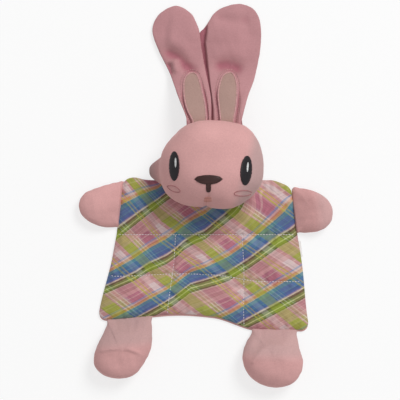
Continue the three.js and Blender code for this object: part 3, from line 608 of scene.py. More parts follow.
def embroidery(name, tint, gloss, edge=None):
    """Rayon embroidery thread laid in satin stitch: smooth and a little glossy along each thread, with fine twist
    lines. The piece's own map counts threads one way and gives the distance across the patch the other way."""
    material, node = start_material(name)
    axes = node("SeparateXYZ", {0: node("UVMap", uv_map="Cloth")}).outputs
    place = node("TexCoord").outputs["Object"]
    fuzz = node("TexNoise", {"Vector": place, "Scale": 1 / (0.8 * MM), "Detail": 2.0})
    number = node("Math", {0: axes[1]}, operation="FLOOR")
    own = node("TexWhiteNoise", {"W": number}, noise_dimensions="1D")
    tone = node("MapRange", {0: node("Math", {0: own, 1: fuzz}, operation="ADD"), 1: 0.3, 2: 1.7})
    thread = node("Mix", {0: tone, 6: shaded(tint, 0.8), 7: shaded(tint, 1.2)}, data_type="RGBA")
    if edge is not None:
        rim = node("MapRange", {0: node("Math", {0: axes[0]}, operation="ABSOLUTE"), 1: 0.8, 2: 1.0})
        thread = node("Mix", {0: rim, 6: thread, 7: edge}, data_type="RGBA")
    close_material(node, thread, fuzz, 0.05, Roughness=gloss, Specular_IOR_Level=0.22)
    return material


def satin_tape(tint):
    """Woven polyester satin tape, blank: smooth and slightly shiny, with fine ribs across it about 0.6 mm apart."""
    material, node = start_material("White satin tape")
    place = node("TexCoord").outputs["Object"]
    wave = node("TexWave", {"Vector": place, "Scale": 1 / (2.4 * MM), "Distortion": 0.2}, bands_direction="Y")
    ribs = wave.outputs["Fac"]
    tone = node("Mix", {0: ribs, 6: shaded(tint, 0.9), 7: shaded(tint, 1.0)}, data_type="RGBA")
    close_material(node, tone, ribs, 0.05, Roughness=0.42, Specular_IOR_Level=0.5)
    return material


# ---- blanket
# Centre lines of the rising green stripes and of the falling white bands, as (x, y) points in millimetres. They
# show how the quilting has pulled the cloth out of true.
RISING_LINES = (
    ((-108, 80), (-80, 91), (-60, 90), (-45, 84), (-37, 90), (113, 201)),
    ((-108, -5), (-80, 17), (-59, 34), (-37, 51), (113, 149)),
    ((-108, -40), (-96, -36), (-66, -23), (-53, -14.8), (-45, -11.5), (-37, -8), (-29, -2.5), (-21, 5), (-11, 10.8),
     (-2, 14.6), (10, 24.5), (34, 43.4), (55, 66), (78, 84), (113, 108)),
    ((-108, -88), (-50, -56), (-31, -45), (-15, -32.6), (10, -26), (20, -22.5), (40, -10), (58, 3.2), (66, 9.2),
     (75, 14.2), (83, 19.7), (113, 40)),
    ((-108, -145), (40, -64.3), (64, -51.6), (91, -37.4), (113, -26)),
    ((-108, -200), (40, -119), (64, -107), (91, -93), (113, -81)),
)
FALLING_LINES = (
    ((-135, -18), (-97, -62), (-52, -92), (-6, -126), (113, -219)),
    ((-108, 24), (-98, 15), (-80, -1.7), (-49, -30.3), (-16, -56), (30, -92), (113, -160)),
    ((-108, 92), (-72.7, 58), (-42, 21.2), (-5, -4), (33.5, -38), (67, -67), (113, -107)),
    ((-108, 138), (-71, 103), (-6, 45), (32.4, 16.6), (75, -9.7), (113, -35)),
    ((-108, 198), (-25, 131), (30, 82), (68, 51.3), (113, 18.4)),
    ((-108, 250), (14, 158), (69, 109), (107, 79), (113, 75)),
)


def crossing_count(x, y, lines):
    """How many lines (given as broken lines y of x, each beyond the last) have been crossed at points x, y, with
    the share of the way to the next: the sum, over neighbouring lines, of the clipped share between them."""
    heights = [np.interp(x, *np.array(line, float).T) for line in lines]
    return np.sum([np.clip((y - a) / (b - a), 0, 1) for a, b in zip(heights[:-1], heights[1:])], axis=0)


# Where gathers hide part of a rising repeat: beside the head's left cheek and at the left shoulder. Each is the
# hidden share, the x and y of its middle, and its width
TUCKS = ((0.38, 46, 60, 17), (0.09, 79, 48, 13))
# Where the border leaves its straight seams: how far it rises (or dips, below 0), where along x, and how widely
HEM_RISE, SHOULDER_RISE, NECKLINE_DIP = (5.0, -22, 40), (2.5, -67, 8), (-3.0, -34, 5)
# How far the hem is drawn to the toy's right, and how far the shoulder falls towards the toy's left
HEM_DRIFT, SHOULDER_FALL = 3.0, 6.0
# Heights of the plaid cloth: at its stitching, at its lowest and at its border; and the depth, the middle, the width
# and the stretch across of the dent that the chin leaves in it
STITCHED_Z, LOWEST_Z, BORDER_Z = 4.5, 2.9, 2.3
CHIN_DENT, CHIN_X, CHIN_Y, CHIN_WIDTH, CHIN_STRETCH = 2.2, 3.5, 47, 9, 1.6
# Distance beyond which a place counts as far from the lines down the blanket, which end at the upper line across
FAR = 60.0


def tucked(x, y):
    """The share of a rising repeat that the gathers hide."""
    return sum(share * bell(np.hypot(x - at_x, y - at_y), width) for share, at_x, at_y, width in TUCKS)


def rise_at(x, rise, middle, width):
    """A rise that is greatest where x is middle."""
    return rise * bell(x - middle, width)


def blanket_plan(u, v):
    """Where the blanket's cloth lies: u runs across and v up. The sides splay below the waist line, the hem drops
    towards the toy's left, the neckline is scooped, and the corners are rounded."""
    nominal = mix(HEM_Y, SHOULDER_Y, v)
    above = mix(WAIST_HALF, SHOULDER_HALF, (nominal - WAIST_Y) / (SHOULDER_Y - WAIST_Y))
    below = mix(WAIST_HALF, HEM_HALF, (WAIST_Y - nominal) / (WAIST_Y - HEM_Y))
    half = np.where(nominal > WAIST_Y, above, below)
    x = mix(-half, half, u)
    drift = HEM_DRIFT * ease((-5 - nominal) / 55)
    inward = np.clip(np.minimum(x + half, half - x) / CORNER, 0, 1)
    rounding = CORNER * (1 - dome(1 - inward, 2))
    hem = HEM_Y - HEM_DROP * ease((x - 30) / 44 + 0.5) + rise_at(x, *HEM_RISE)
    scoop = ease((np.abs(x - NECK_X) - NECKLINE_FLAT) / (NECKLINE_HALF - NECKLINE_FLAT))
    shoulder = SHOULDER_Y + rise_at(x, *SHOULDER_RISE) - SHOULDER_FALL * ease((x - 58) / 22)
    top = mix(NECKLINE_Y, shoulder, scoop) + rise_at(x, *NECKLINE_DIP)
    lower = mix(hem + rounding, WAIST_Y, v / QUILT_UP[1])
    upper = mix(WAIST_Y, top - rounding, (v - QUILT_UP[1]) / (1 - QUILT_UP[1]))
    return x - drift, np.where(v < QUILT_UP[1], lower, upper)


def cell_rise(t, lines):
    """The height of a quilted cell across it: 0 on each sewn line, 1 midway, as a flattened half circle."""
    stops = np.array([0, *lines, 1])
    cell = np.clip(np.searchsorted(stops, t, side="right") - 1, 0, len(stops) - 2)
    share = (t - stops[cell]) / (stops[cell + 1] - stops[cell])
    return np.clip(1 - (2 * share - 1) ** 2, 0, 1) ** 0.55


def nearest_line(t, lines, span):
    """Distance in millimetres to the nearest of lines (shares of span)."""
    return np.min([np.abs(t - line) * span for line in lines], axis=0)


def from_border(u, v):
    """About how far, in millimetres, a place lies inside the side seams and inside the hem or the neckline."""
    return np.minimum(u, 1 - u) * 2 * WAIST_HALF, np.minimum(v, 1 - v) * (SHOULDER_Y - HEM_Y)


def blanket_height(u, v, x, y, sizes):
    """Height of the plaid cloth: a pillow in each cell, drawn down along the stitching, with puckers that run
    square to each sewn line and die out within about a centimetre."""
    across = np.where(v > QUILT_UP[1], cell_rise(u, ()), cell_rise(u, QUILT_ACROSS))
    puff = sizes.quilt_puff * across * cell_rise(v, QUILT_UP)
    row = nearest_line(v, QUILT_UP, SHOULDER_Y - HEM_Y)
    column = np.where(v > QUILT_UP[1] + 0.01, FAR, nearest_line(u, QUILT_ACROSS, 2 * WAIST_HALF))
    side, end = from_border(u, v)
    height = STITCHED_Z + puff - 0.5 * (bell(row, 1.1) + bell(column, 1.1))
    for distance, along, seed in ((row, x, 3), (column, y, 5), (side, y, 7), (end, x, 9)):
        wave = rumple(along[..., None], 9.0, seed) + 0.6 * rumple(stacked(x, y), 14.0, seed + 1)
        height = height + sizes.pucker * wave * (distance / 3.0) * np.exp(1 - distance / 3.0)
    loose = 0.4 + 0.7 * ease((v - 0.58) / 0.15)
    height = height + loose * rumple(stacked(x, y), 30.0, 11)
    height = height - CHIN_DENT * bell(np.hypot((x - CHIN_X) / CHIN_STRETCH, y - CHIN_Y), CHIN_WIDTH)
    edge = np.clip(np.minimum(side, end) / 7.0, 0, 1)
    return mix(BORDER_Z, np.maximum(height, LOWEST_Z), dome(1 - edge, 2))


def cloth_shell(top, bottom):
    """A closed thin shell between two grids of points (rows, columns, 3), joined along their four borders."""
    rows, columns = top.shape[:2]
    upper = grid_quads(rows, columns)
    lower = upper[:, ::-1] + rows * columns
    index = np.arange(rows * columns).reshape(rows, columns)
    border = np.concatenate([index[0, :-1], index[:-1, -1], index[-1, :0:-1], index[:0:-1, 0]])
    after = np.roll(border, -1)
    under = rows * columns
    sides = np.stack([border, border + under, after + under, after], axis=1)
    points = np.concatenate([top.reshape(-1, 3), bottom.reshape(-1, 3)])
    return points, [upper, lower, sides]


def blanket_grid(across, up):
    """A grid of u and v over the blanket, closer together near its borders."""
    evenly = (np.linspace(0, 1, count) for count in (across, up))
    return np.meshgrid(*(t - 0.35 * np.sin(TURN * t) / TURN for t in evenly))


def make_blanket(sizes, colours):
    """The plaid top and the velour lining. The top's map counts the plaid's rising and falling repeats."""
    u, v = blanket_grid(190, 140)
    x, y = blanket_plan(u, v)
    top = stacked(x, y, blanket_height(u, v, x, y, sizes))
    rising = crossing_count(x, y, RISING_LINES) + tucked(x, y)
    plaid = stacked(rising, crossing_count(x, y, FALLING_LINES)).reshape(-1, 2)
    points, faces = cloth_shell(top, top - [0, 0, 0.9])
    front = add_piece("blanket_top", (points, faces, np.concatenate([plaid, plaid])), plaid_cotton(), "blanket",
                      "plaid_cotton", "blanket_front_panel", "blanket_wadding")

    u, v = blanket_grid(150, 110)
    x, y = blanket_plan(u, v)
    # The lining shows as a border 1.5 mm wide below the plaid's hem
    y = np.where(v < 0.02, y - 1.5 * (1 - v / 0.02), y)
    edge = np.minimum(*from_border(u, v))
    lift = 0.7 * bell(edge - 1.0, 1.6) * np.where(v < 0.1, 1.0, 0.35)
    shell = cloth_shell(stacked(x, y, 1.15 + lift), stacked(x, y, 0.7 * bell(edge, 1.2)))
    lining = add_piece("blanket_lining", shell, pink_velour(colours), "blanket", "pink_velour", "blanket_back_panel")


def stitch_run(path, pitch, width, share_sewn=0.8, sink=0.45):
    """Running stitches along a path (n, 3): each is a slim spindle, full in the middle and dipping into the cloth
    at both ends. The result is one shell of rings for each stitch."""
    reach = path_reach(path)
    share = np.linspace(0, 1, 9)
    starts = np.arange(0.3, reach[-1] - pitch * share_sewn, pitch)
    along = starts[:, None] + share[None, :] * pitch * share_sewn
    x, y, z = (np.interp(along, reach, path[:, axis]) for axis in range(3))
    angle = np.arctan2(np.gradient(y, axis=1), np.gradient(x, axis=1))[..., None]
    radius = (width / 2 * dome(2 * share - 1, 4))[None, :, None]
    around = np.arange(8) * TURN / 8
    middle = (z + 0.22 + 0.2 * width - sink * np.abs(2 * share - 1)[None, :] ** 3)[..., None]
    spread = radius * np.cos(around)
    px = x[..., None] - spread * np.sin(angle)
    py = y[..., None] + spread * np.cos(angle)
    return np.stack([px, py, middle + 0.75 * radius * np.sin(around)], -1)


def sewn(runs):
    """Stitches (shells of rings) as one mesh, whose map gives each stitch its own number."""
    parts = []
    for number, rings in enumerate(runs):
        points, faces = closed_rings(rings)
        parts.append((points, faces, np.full((len(points), 2), (0.0, number + 0.5))))
    return joined(parts)


# How far the quilting's thread stands off the cloth that it holds down
STITCH_LIFT = 0.3


def make_quilting(sizes, colours):
    """Two sewn lines across the blanket and two down it below the upper one, in white running stitch."""
    t = np.linspace(0.012, 0.988, 400)
    down = np.linspace(0.012, QUILT_UP[1], 250)
    runs = [(t, np.full_like(t, v)) for v in QUILT_UP] + [(np.full_like(down, u), down) for u in QUILT_ACROSS]
    shells = []
    for u, v in runs:
        x, y = blanket_plan(u, v)
        path = stacked(x, y, blanket_height(u, v, x, y, sizes) + STITCH_LIFT)
        shells += list(stitch_run(path, sizes.stitch, sizes.thread))
    thread = embroidery("White cotton thread", colours.quilting, gloss=0.7)
    add_piece("quilting_stitches", sewn(shells), thread, "blanket", "white_thread", "quilting_thread")


# The side label: its length, the reach of its fold past the seam, half the gap between its plies and its thickness
LABEL_LENGTH, LABEL_REACH, LABEL_PLY, LABEL_THICK = 14.8, 2.1, 0.35, 0.5


def make_label(sizes, colours):
    """A blank tape folded in two and sewn into the side seam: a hairpin profile carried along the seam."""
    low, high = node_box("side_label")
    middle = (low + high) / 2
    turn = np.arctan((HEM_HALF - WAIST_HALF) / (WAIST_Y - HEM_Y))
    bend = np.linspace(-np.pi / 2, np.pi / 2, 13)[1:-1]
    inside = np.linspace(-1.5, LABEL_REACH, 9)
    out = np.concatenate([inside, LABEL_REACH + LABEL_PLY * np.cos(bend), inside[::-1]])
    up = np.concatenate([np.full(9, -LABEL_PLY), LABEL_PLY * np.sin(bend), np.full(9, LABEL_PLY)])
    along = np.linspace(-LABEL_LENGTH / 2, LABEL_LENGTH / 2, 40)[:, None]
    way = unit(stacked(np.gradient(out), np.gradient(up)))

    def layer(side):
        px = out + side * LABEL_THICK / 2 * way[:, 1] + 0.25 * np.sin(along / 2.3)
        pz = up - side * LABEL_THICK / 2 * way[:, 0] + 0.2 * np.sin(along / 3.1 + 1)
        x, y = placed((low[0], middle[1]), px, along, turn)
        return stacked(x, y, middle[2] + pz)

    shell = cloth_shell(layer(1), layer(-1))
    tape = add_piece("blank_label", shell, satin_tape(colours.label), "blanket", "label_tape", "side_label")


# ---- head
# The head's seam, from its middle, in millimetres: a wide round head, fullest at the jaw, with a notch at the chin
HEAD_OUTLINE = (
    (2.1, 39.9), (14.6, 38.7), (27.7, 35.7), (33.4, 32.1), (37.9, 27.2), (42.4, 19.6), (45.5, 9.7), (46.5, -0.1),
    (46.1, -10.9), (43.7, -18.9), (38.8, -25.2), (33.4, -30.6), (26.3, -35.5), (19.1, -38.6), (12.8, -39.5),
    (3.9, -39.3), (-1.9, -38.2), (-4.5, -36.4), (-7.8, -37.5), (-16.7, -37.5), (-24.8, -35.9), (-31.0, -33.3),
    (-37.3, -29.2), (-42.2, -23.4), (-45.1, -16.2), (-46.6, -6.4), (-46.2, 3.5), (-44.0, 12.0), (-40.0, 19.1),
    (-33.7, 26.3), (-26.6, 33.0), (-21.2, 36.1), (-10.4, 39.4),
)
# The bulge of the back panel on the toy's right: how far it stands out, how far its middle lies below the seam and
# its half height, in millimetres, the y of its middle from the head's, and how far it reaches round, in radians
KNOB_OUT, KNOB_LOW, KNOB_TALL, KNOB_Y, KNOB_ROUND = 17.0, 18.0, 8.0, -5.5, 0.3
# The line beyond which painted sheen and shade make the face's side greyer and darker: its x at the head's middle,
# its slant, and the width over which that comes in
SHADED_SIDE_X, SHADED_SIDE_SLANT, SHADED_SIDE_RUN = 25, 0.27, 12
# Small gathers along the jaw, as (height, width, path), and the middles of the hollows round the eyes, both from the
# head's middle in millimetres
JAW_GATHERS = (
    (-1.3, 1.6, ((-1.5, -37), (3, -33.5), (10, -32.5))),
    (-1.2, 1.6, ((-8, -36.5), (-13, -33), (-20, -31.5))),
    (-0.9, 1.8, ((-27, -35), (-30, -28))),
    (-0.9, 1.8, ((24, -36), (25, -30))),
)
EYE_HOLLOWS = ((-33, -2), (30, -6))


def face_relief(x, y):
    """Shallow modelling of the face: full cheeks and muzzle, a pinch under the nose that ends at the chin, small
    gathers along the jaw, and the slight hollow that the embroidery draws in round the eyes."""
    muzzle = 1.8 * bell(np.hypot(x + 3, (y + 20) * 1.2), 17)
    pinch = -2.2 * bell(x + 4.2, 1.8) * ease((-y - 27) / 6)
    hollows = sum(-0.7 * bell(np.hypot(x - eye_x, (y - eye_y) / 2.2), 8) for eye_x, eye_y in EYE_HOLLOWS)
    brow = 0.5 * bell(np.hypot(x, y - 14), 26)
    soft = 0.3 * rumple(stacked(x, y), 30.0, 21)
    return muzzle + pinch + creased(x, y, JAW_GATHERS) + hollows + brow + soft


def face_height(x, y):
    """Height of the face's cloth above the floor at x, y from the head's middle: the seam's height, a dome that is
    the square root of one less the 2.4th power of the share of the way out, and the relief."""
    share = np.clip(share_out(x, y, smooth_loop(HEAD_OUTLINE, 400), np.zeros(2)), 0, 1)
    return HEAD_LEVEL + FACE_DEPTH * dome(share, 2.4) + face_relief(x, y) * (1 - share**6)


def make_head(sizes, colours):
    """The stuffed head: a cushion whose front is the face. Its back lies on the floor; low down on the toy's right
    it bulges out past the face in a knob of its own."""
    middle = np.zeros(2)
    front = lambda x, y, share: face_height(x, y)
    back = lambda x, y, share: HEAD_LEVEL - BACK_DEPTH * dome(share, 2.4)
    rings, share = cushion_rings(smooth_loop(HEAD_OUTLINE, 190), middle, front, back, 56)
    rings = draw_in_seam(rings, share, middle, HEAD_LEVEL, sizes.seam_dip, 0.12, 23)
    turned = np.arctan2(rings[..., 1] - KNOB_Y, -rings[..., 0])
    low = HEAD_LEVEL - rings[..., 2]
    knob = np.exp(-(np.abs(turned / KNOB_ROUND) ** 3)) * bell(low - KNOB_LOW, KNOB_TALL)
    knob = knob * ease((share - 0.3) / 0.3) * (low > 0)
    rings[..., 0] -= KNOB_OUT * knob
    rings[..., 2] = np.maximum(rings[..., 2], 0)
    x, y = by_point(rings)[:, :2].T
    rings[..., :2] += HEAD_MIDDLE
    cover = add_piece("head_cover", closed_rings(rings), pink_velour(colours), "head", "pink_velour",
                      "head_face_panel", "head_back_panel", "head_stuffing")
    # Painted sheen and shade grey the face's side beyond a slanting line; painted shade also darkens that side a
    # little, and darkens the knob, which lies low behind the head
    sheen_shade_share = ease((x - SHADED_SIDE_X - SHADED_SIDE_SLANT * y) / SHADED_SIDE_RUN)
    mark(cover, "PaintedSheenShade", sheen_shade_share)
    mark(cover, "PaintedShade", 0.15 * sheen_shade_share + 0.9 * by_point(knob))


# ---- face embroidery, placed from the head's middle
def from_middle(x, y, z):
    """Points whose x and y are given from the head's middle, in the frame's own x and y."""
    return stacked(x + HEAD_MIDDLE[0], y + HEAD_MIDDLE[1], z)


# Rows of points along each thread of satin stitch, and how much higher the pad is at a thread's crown
ROWS_PER_THREAD, TUFT = 5, 0.16


def satin_patch(place, half_width, tall, sizes, lean=0.0, lift=0.15, height=0.9, columns=11):
    """A raised patch of satin stitch: threads run across it, each a low ridge, over a pad that is fullest in the
    middle. half_width(t) is its half width at t from -1 (foot) to 1 (top). The map holds the way across (-1 to 1)
    and the thread's number."""
    threads = max(3, round(tall / sizes.satin_pitch))
    t = np.linspace(-1, 1, threads * ROWS_PER_THREAD + 1)[:, None]
    c = np.sin(np.linspace(-np.pi / 2, np.pi / 2, columns))
    number = (t + 1) / 2 * threads
    ragged = 1 + 0.035 * rumple(np.floor(number), 3.1, 31)[:, None]
    x, y = placed(place, c * (half_width(t) * ragged), t * tall / 2, lean)
    pad = height * dome(c, 4) * dome(t, 6)
    base = face_height(x, y)
    crown = base + lift + pad * (1 + TUFT * np.abs(np.sin(np.pi * number)))
    uv = stacked(c, number).reshape(-1, 2)
    points, faces = cloth_shell(from_middle(x, y, crown), from_middle(x, y, base - 0.5))
    return points, faces, np.concatenate([uv, uv])


def ellipse_half(width):
    """Half width of an upright oval, at t from -1 to 1."""
    return lambda t: width / 2 * np.sqrt(np.clip(1 - t * t, 0.0004, 1))


def from_head(node):
    """A node's middle, from the head's middle, and its size in plan."""
    low, high = node_box(node)
    return (low + high)[:2] / 2 - HEAD_MIDDLE, (high - low)[:2]


EYES = {"right": {"width": 9.4, "lean": 0.0}, "left": {"width": 10.6, "lean": -0.08}}
EYE_TALL, GLINT_WIDTH, GLINT_TALL = 26.0, 1.7, 8.6


def make_eyes(sizes, colours):
    """Each eye is an upright oval of black satin stitch with a fine brown edge, and a light bar stitched on it."""
    black = embroidery("Black rayon thread", colours.eye, gloss=0.38, edge=linear("#4A2C2E"))
    light = embroidery("Light grey rayon thread", colours.glint, gloss=0.4)
    for side, eye in EYES.items():
        middle, _ = from_head(f"eye_{side}")
        patch = satin_patch(middle, ellipse_half(eye["width"]), EYE_TALL, sizes, eye["lean"], columns=21)
        add_piece(f"eye_stitching_{side}", patch, black, "head", "black_thread", f"eye_{side}")
        node = f"eye_highlight_{side}"
        spot, _ = from_head(node)
        bar = satin_patch(spot, ellipse_half(GLINT_WIDTH), GLINT_TALL, sizes, eye["lean"], lift=1.15, height=0.5)
        add_piece(f"eye_glint_{side}", bar, light, "head", "grey_thread", node)


def lens_half(t):
    """Half width of the nose: widest a quarter of the way above its middle, round at both ends."""
    off = np.where(t > 0.25, (t - 0.25) / 0.75, (0.25 - t) / 1.25)
    return 12.0 * np.clip(1 - off**2, 0.001, 1) ** 0.6


def stem_half(t):
    """Half width of the nose's stem: even, and round at its foot."""
    return 2.2 * np.clip(1 - np.clip(-t, 0, 1) ** 5, 0.001, 1) ** 0.5


def mouth_half(t):
    """Half width of the mouth: a little wider at its foot, with rounded corners."""
    return 3.7 * (0.9 - 0.1 * t) * np.clip(1 - t**6, 0.001, 1) ** 0.5


def make_nose_and_mouth(sizes, colours):
    """The nose is a wide lens, flatter above, with a short round-ended stem; the mouth is a small patch below."""
    place, size = from_head("nose_embroidery")
    foot, top = place[1] - size[1] / 2, place[1] + size[1] / 2
    lens_y = top - 4.0
    lens = satin_patch((place[0], lens_y), lens_half, 8.4, sizes, height=1.1, columns=19)
    stem_top = lens_y - 1.5
    stem = satin_patch((place[0], (stem_top + foot) / 2), stem_half, stem_top - foot, sizes)
    brown = embroidery("Dark brown rayon thread", colours.nose, gloss=0.42)
    add_piece("nose_stitching", joined([lens, stem]), brown, "head", "brown_thread", "nose_embroidery")
    place, _ = from_head("mouth_embroidery")
    mauve = embroidery("Light mauve rayon thread", colours.mouth, gloss=0.6)
    patch = satin_patch(place, mouth_half, 5.0, sizes, height=0.35)
    add_piece("mouth_stitching", patch, mauve, "head", "mauve_thread", "mouth_embroidery")


CHEEKS = {
    "right": {"place": (-33.4, -21.8), "width": 12.6, "height": 4.6, "tilt": -0.39, "point": 0.4},
    "left": {"place": (27.4, -25.7), "width": 15.8, "height": 4.8, "tilt": 0.05, "point": 0.0},
}


def make_cheeks(sizes, colours):
    """A leaf and an oval in fine outline stitch, laid on the face as small spindles end to end."""
    thread = embroidery("Mauve rayon thread", colours.mauve, gloss=0.6)
    a = np.linspace(0, TURN, 200)
    for side, cheek in CHEEKS.items():
        p = cheek["width"] / 2 * np.cos(a)
        q = cheek["height"] / 2 * np.sin(a) * (1 - cheek["point"] * np.cos(a) ** 2)
        x, y = placed(cheek["place"], p, q, cheek["tilt"])
        path = from_middle(x, y, face_height(x, y))
        outline = sewn(stitch_run(path, 1.6, 0.8, share_sewn=1.1, sink=0.25))
        add_piece(f"cheek_outline_{side}", outline, thread, "head", "mauve_thread", f"cheek_stitching_{side}")


# ---- ears
# Outline, patch outline and folds of each ear, as points in millimetres. A fold is (height, width, path). "bend_x" is
# the x of the place where the ear bends at the head
EAR_SHAPES = {
    "right": {
        "bend_x": -6.75,
        "outline": ((-16.5, 110), (-17.8, 118), (-20, 125), (-26.5, 141.5), (-34.5, 164), (-45, 186), (-50.3, 203),
                    (-46, 216), (-36, 224), (-26, 226), (-14.9, 219.5), (-10.3, 212), (-7.0, 203.5), (-5.7, 194.4),
                    (-3.5, 179.7), (-0.4, 163.2), (3.5, 142), (3.9, 128), (3.7, 118), (3.5, 110)),
        "middle": (-20.5, 172.0),
        "patch": ((-12, 111), (-13, 118.6), (-17.4, 128), (-20.2, 138), (-21.2, 149), (-20.6, 157.5),
                  (-16.9, 163.3), (-12.6, 164.2), (-9, 161.6), (-6.8, 155), (-4.6, 146), (-2.6, 137),
                  (-1.4, 127), (-1.1, 119), (-1.5, 111)),
        "folds": (
            (2.2, 16.0, ((-18, 200), (-38, 203))),
            (2.0, 6.0, ((-33, 194), (-22, 187), (-10, 176))),
            (-2.2, 1.2, ((-13, 112), (-15.4, 118.6), (-19.4, 128), (-22.2, 138), (-23.4, 150))),
            (1.4, 2.6, ((-17.6, 114), (-22.4, 128), (-26, 140), (-29, 152))),
            (-2.1, 1.0, ((0.4, 112), (0.8, 122), (-0.2, 134), (-3, 148), (-5.5, 158))),
            (1.2, 1.5, ((2.6, 112), (2.4, 128), (1.2, 140))),
            (-2.8, 4.6, ((-34, 182), (-27, 179), (-21, 172), (-12, 165), (-8, 161))),
            (3.0, 4.4, ((-28.5, 168), (-28.5, 172), (-30, 178))),
            (-2.6, 2.8, ((-33, 165), (-33.8, 169), (-36, 174))),
        ),
        "gully": None,
    },
    "left": {
        "bend_x": 18.0,
        "outline": ((3.0, 110), (3.2, 118), (3.5, 130), (3.0, 142), (-1.0, 163), (-4.4, 179.7), (-6.6, 194.4),
                    (-6.6, 201.5), (-3.2, 205), (1.0, 211), (6.0, 218.7), (13.8, 224.3), (28.5, 228), (41, 224.5),
                    (47.5, 216), (49.8, 204), (49.5, 190), (47.8, 177.5), (43.4, 158), (37.2, 141.5), (32, 123),
                    (30.6, 116), (30, 110)),
        "middle": (23.0, 174.0),
        "patch": ((12, 111), (12.1, 118), (10.9, 131.5), (10.1, 144), (12.4, 156.5), (16, 162.6), (21, 164.5),
                  (24.6, 161.6), (26.6, 154), (26.8, 146), (26.3, 138), (25, 128), (23.4, 119.5), (23, 111)),
        "folds": (
            (2.4, 16.0, ((10, 202), (38, 203))),
            (1.4, 6.0, ((10, 182), (22, 183), (36, 179))),
            (-2.1, 1.1, ((10.4, 112), (10.4, 118), (8.8, 131), (8, 144), (9.6, 154))),
            (1.4, 1.6, ((7.4, 112), (7.0, 128), (5.6, 142))),
            (-2.2, 1.2, ((24.8, 112), (25.8, 119.5), (27.4, 128), (28.8, 138), (29.2, 150))),
            (1.6, 2.6, ((27.8, 114), (31, 126), (34.4, 140), (37, 152))),
            (-2.6, 5.0, ((13, 171), (18, 171.5), (26, 169), (34, 165))),
            (-1.6, 5.0, ((12, 214), (26, 210.5), (40, 214))),
        ),
        "gully": ((4.4, 118), (4.2, 130), (3.2, 140), (1.2, 155), (-0.3, 167), (-1.7, 178), (-3.2, 192), (-1.4, 205)),
    },
}
# Where an ear starts to bend by the head, and where it is all its own, as y and z in metres
EAR_BEND = (0.1155, 0.0296), (0.1290, 0.0290)
# The satin stitch round an ear's patch, and the small stitches outside it: how far out they run, their spacing and
# their width, all in millimetres
SATIN_WIDTH, SATIN_TALL, SATIN_LIFT = 1.5, 0.6, 0.55
OUTER_GAP, OUTER_PITCH, OUTER_WIDTH = 2.9, 2.0, 0.7


def ear_level(y):
    """Height of the ear's seam: at the head's seam by its root, then down a soft slope to the floor."""
    return mix(HEAD_LEVEL, EAR_REST_Z, ease((y - EAR_ROOT_Y) / EAR_SLOPE_RUN))


def ear_shade_share(side, x, y):
    """Painted shade on the ear: 0 on open cloth to 1 in the bottoms of creases and in the gully, for the velour's
    painted-shade attribute. what the Fold attribute holds.
    """
    shape = EAR_SHAPES[side]
    depth = np.clip(-creased(x, y, shape["folds"]) / 4.4, 0, 0.55)
    if shape["gully"]:
        depth = np.maximum(depth, 0.55 * gully_share(x, y, shape["gully"]))
    return depth * (0.25 + 0.75 * ease((y - 114) / 14))


def gully_share(x, y, path):
    """1 along the gully's path and on its outer side, falling to 0 over a few millimetres of its inner side."""
    width = mix(1.1, 1.7, ease((y - 135) / 50))
    line = np.interp(y, [p[1] for p in path], [p[0] for p in path])
    return np.where(x < line, 1.0, np.exp(-((np.abs(x - line) / width) ** 4))) * ease((212 - y) / 8)


def ear_under(side, x, y, share):
    """Height of the ear's lower cloth: as far below its seam as the folds need, and never below the floor."""
    under = ear_level(y) - 0.1 - dome(share, 7) * (2.7 + 2.4 * ease((150 - y) / 25))
    gully = EAR_SHAPES[side]["gully"]
    if gully:
        under = mix(under, ear_level(y) - 2.9, gully_share(x, y, gully))
    return np.maximum(under, 0.15)


def ear_top(side, sizes, x, y):
    """Height of the ear's upper cloth at x, y: its seam's height, a flat puff that falls away at the edge, the
    folds, and a slow waviness. The toy's left ear dips almost to the floor in a gully beside the other one."""
    shape = EAR_SHAPES[side]
    share = np.clip(share_out(x, y, smooth_loop(shape["outline"], 400), np.array(shape["middle"])), 0, 1)
    soft = 0.6 * rumple(stacked(x, y), 34.0, 41 if side == "right" else 43)
    soft = soft + 0.15 * rumple(stacked(x, y), 11.0, 45)
    rise = sizes.ear_puff + creased(x, y, shape["folds"]) + soft
    top = ear_level(y) + 0.2 + dome(share, 7) * np.maximum(rise, -1.6 - 2.4 * ease((150 - y) / 25))
    if shape["gully"]:
        top = mix(top, ear_level(y) - 1.9, gully_share(x, y, shape["gully"]))
    return top


def loop_way(path):
    """The way a closed path (n, 2) runs at each of its points, as unit vectors."""
    return unit(np.roll(path, -1, 0) - np.roll(path, 1, 0))


def tube_along(path, heights, width, tall, pitch):
    """A low closed tube along a closed path, ridged across like satin stitch: the threads' pitch sets the ridges.
    The map holds the way across (-1 to 1) and the thread's number."""
    way = loop_way(path)
    side = stacked(-way[:, 1], way[:, 0])
    threads = round(np.linalg.norm(np.diff(path, axis=0, append=path[:1]), axis=1).sum() / pitch)
    number = (np.arange(len(path)) / len(path) * threads)[:, None]
    around = np.arange(10) * TURN / 10
    plan = path[:, None, :] + side[:, None, :] * (width / 2 * np.cos(around))[None, :, None]
    up = tall * np.sin(around) * np.where(np.sin(around) > 0, 1.0, 0.5)
    z = heights[:, None] + up * (1 + 0.2 * np.abs(np.sin(np.pi * number)))
    faces = grid_quads(len(path) + 1, len(around), around=True) % z.size
    uv = stacked(np.cos(around), number).reshape(-1, 2)
    return stacked(plan[..., 0], plan[..., 1], z).reshape(-1, 3), [faces], uv


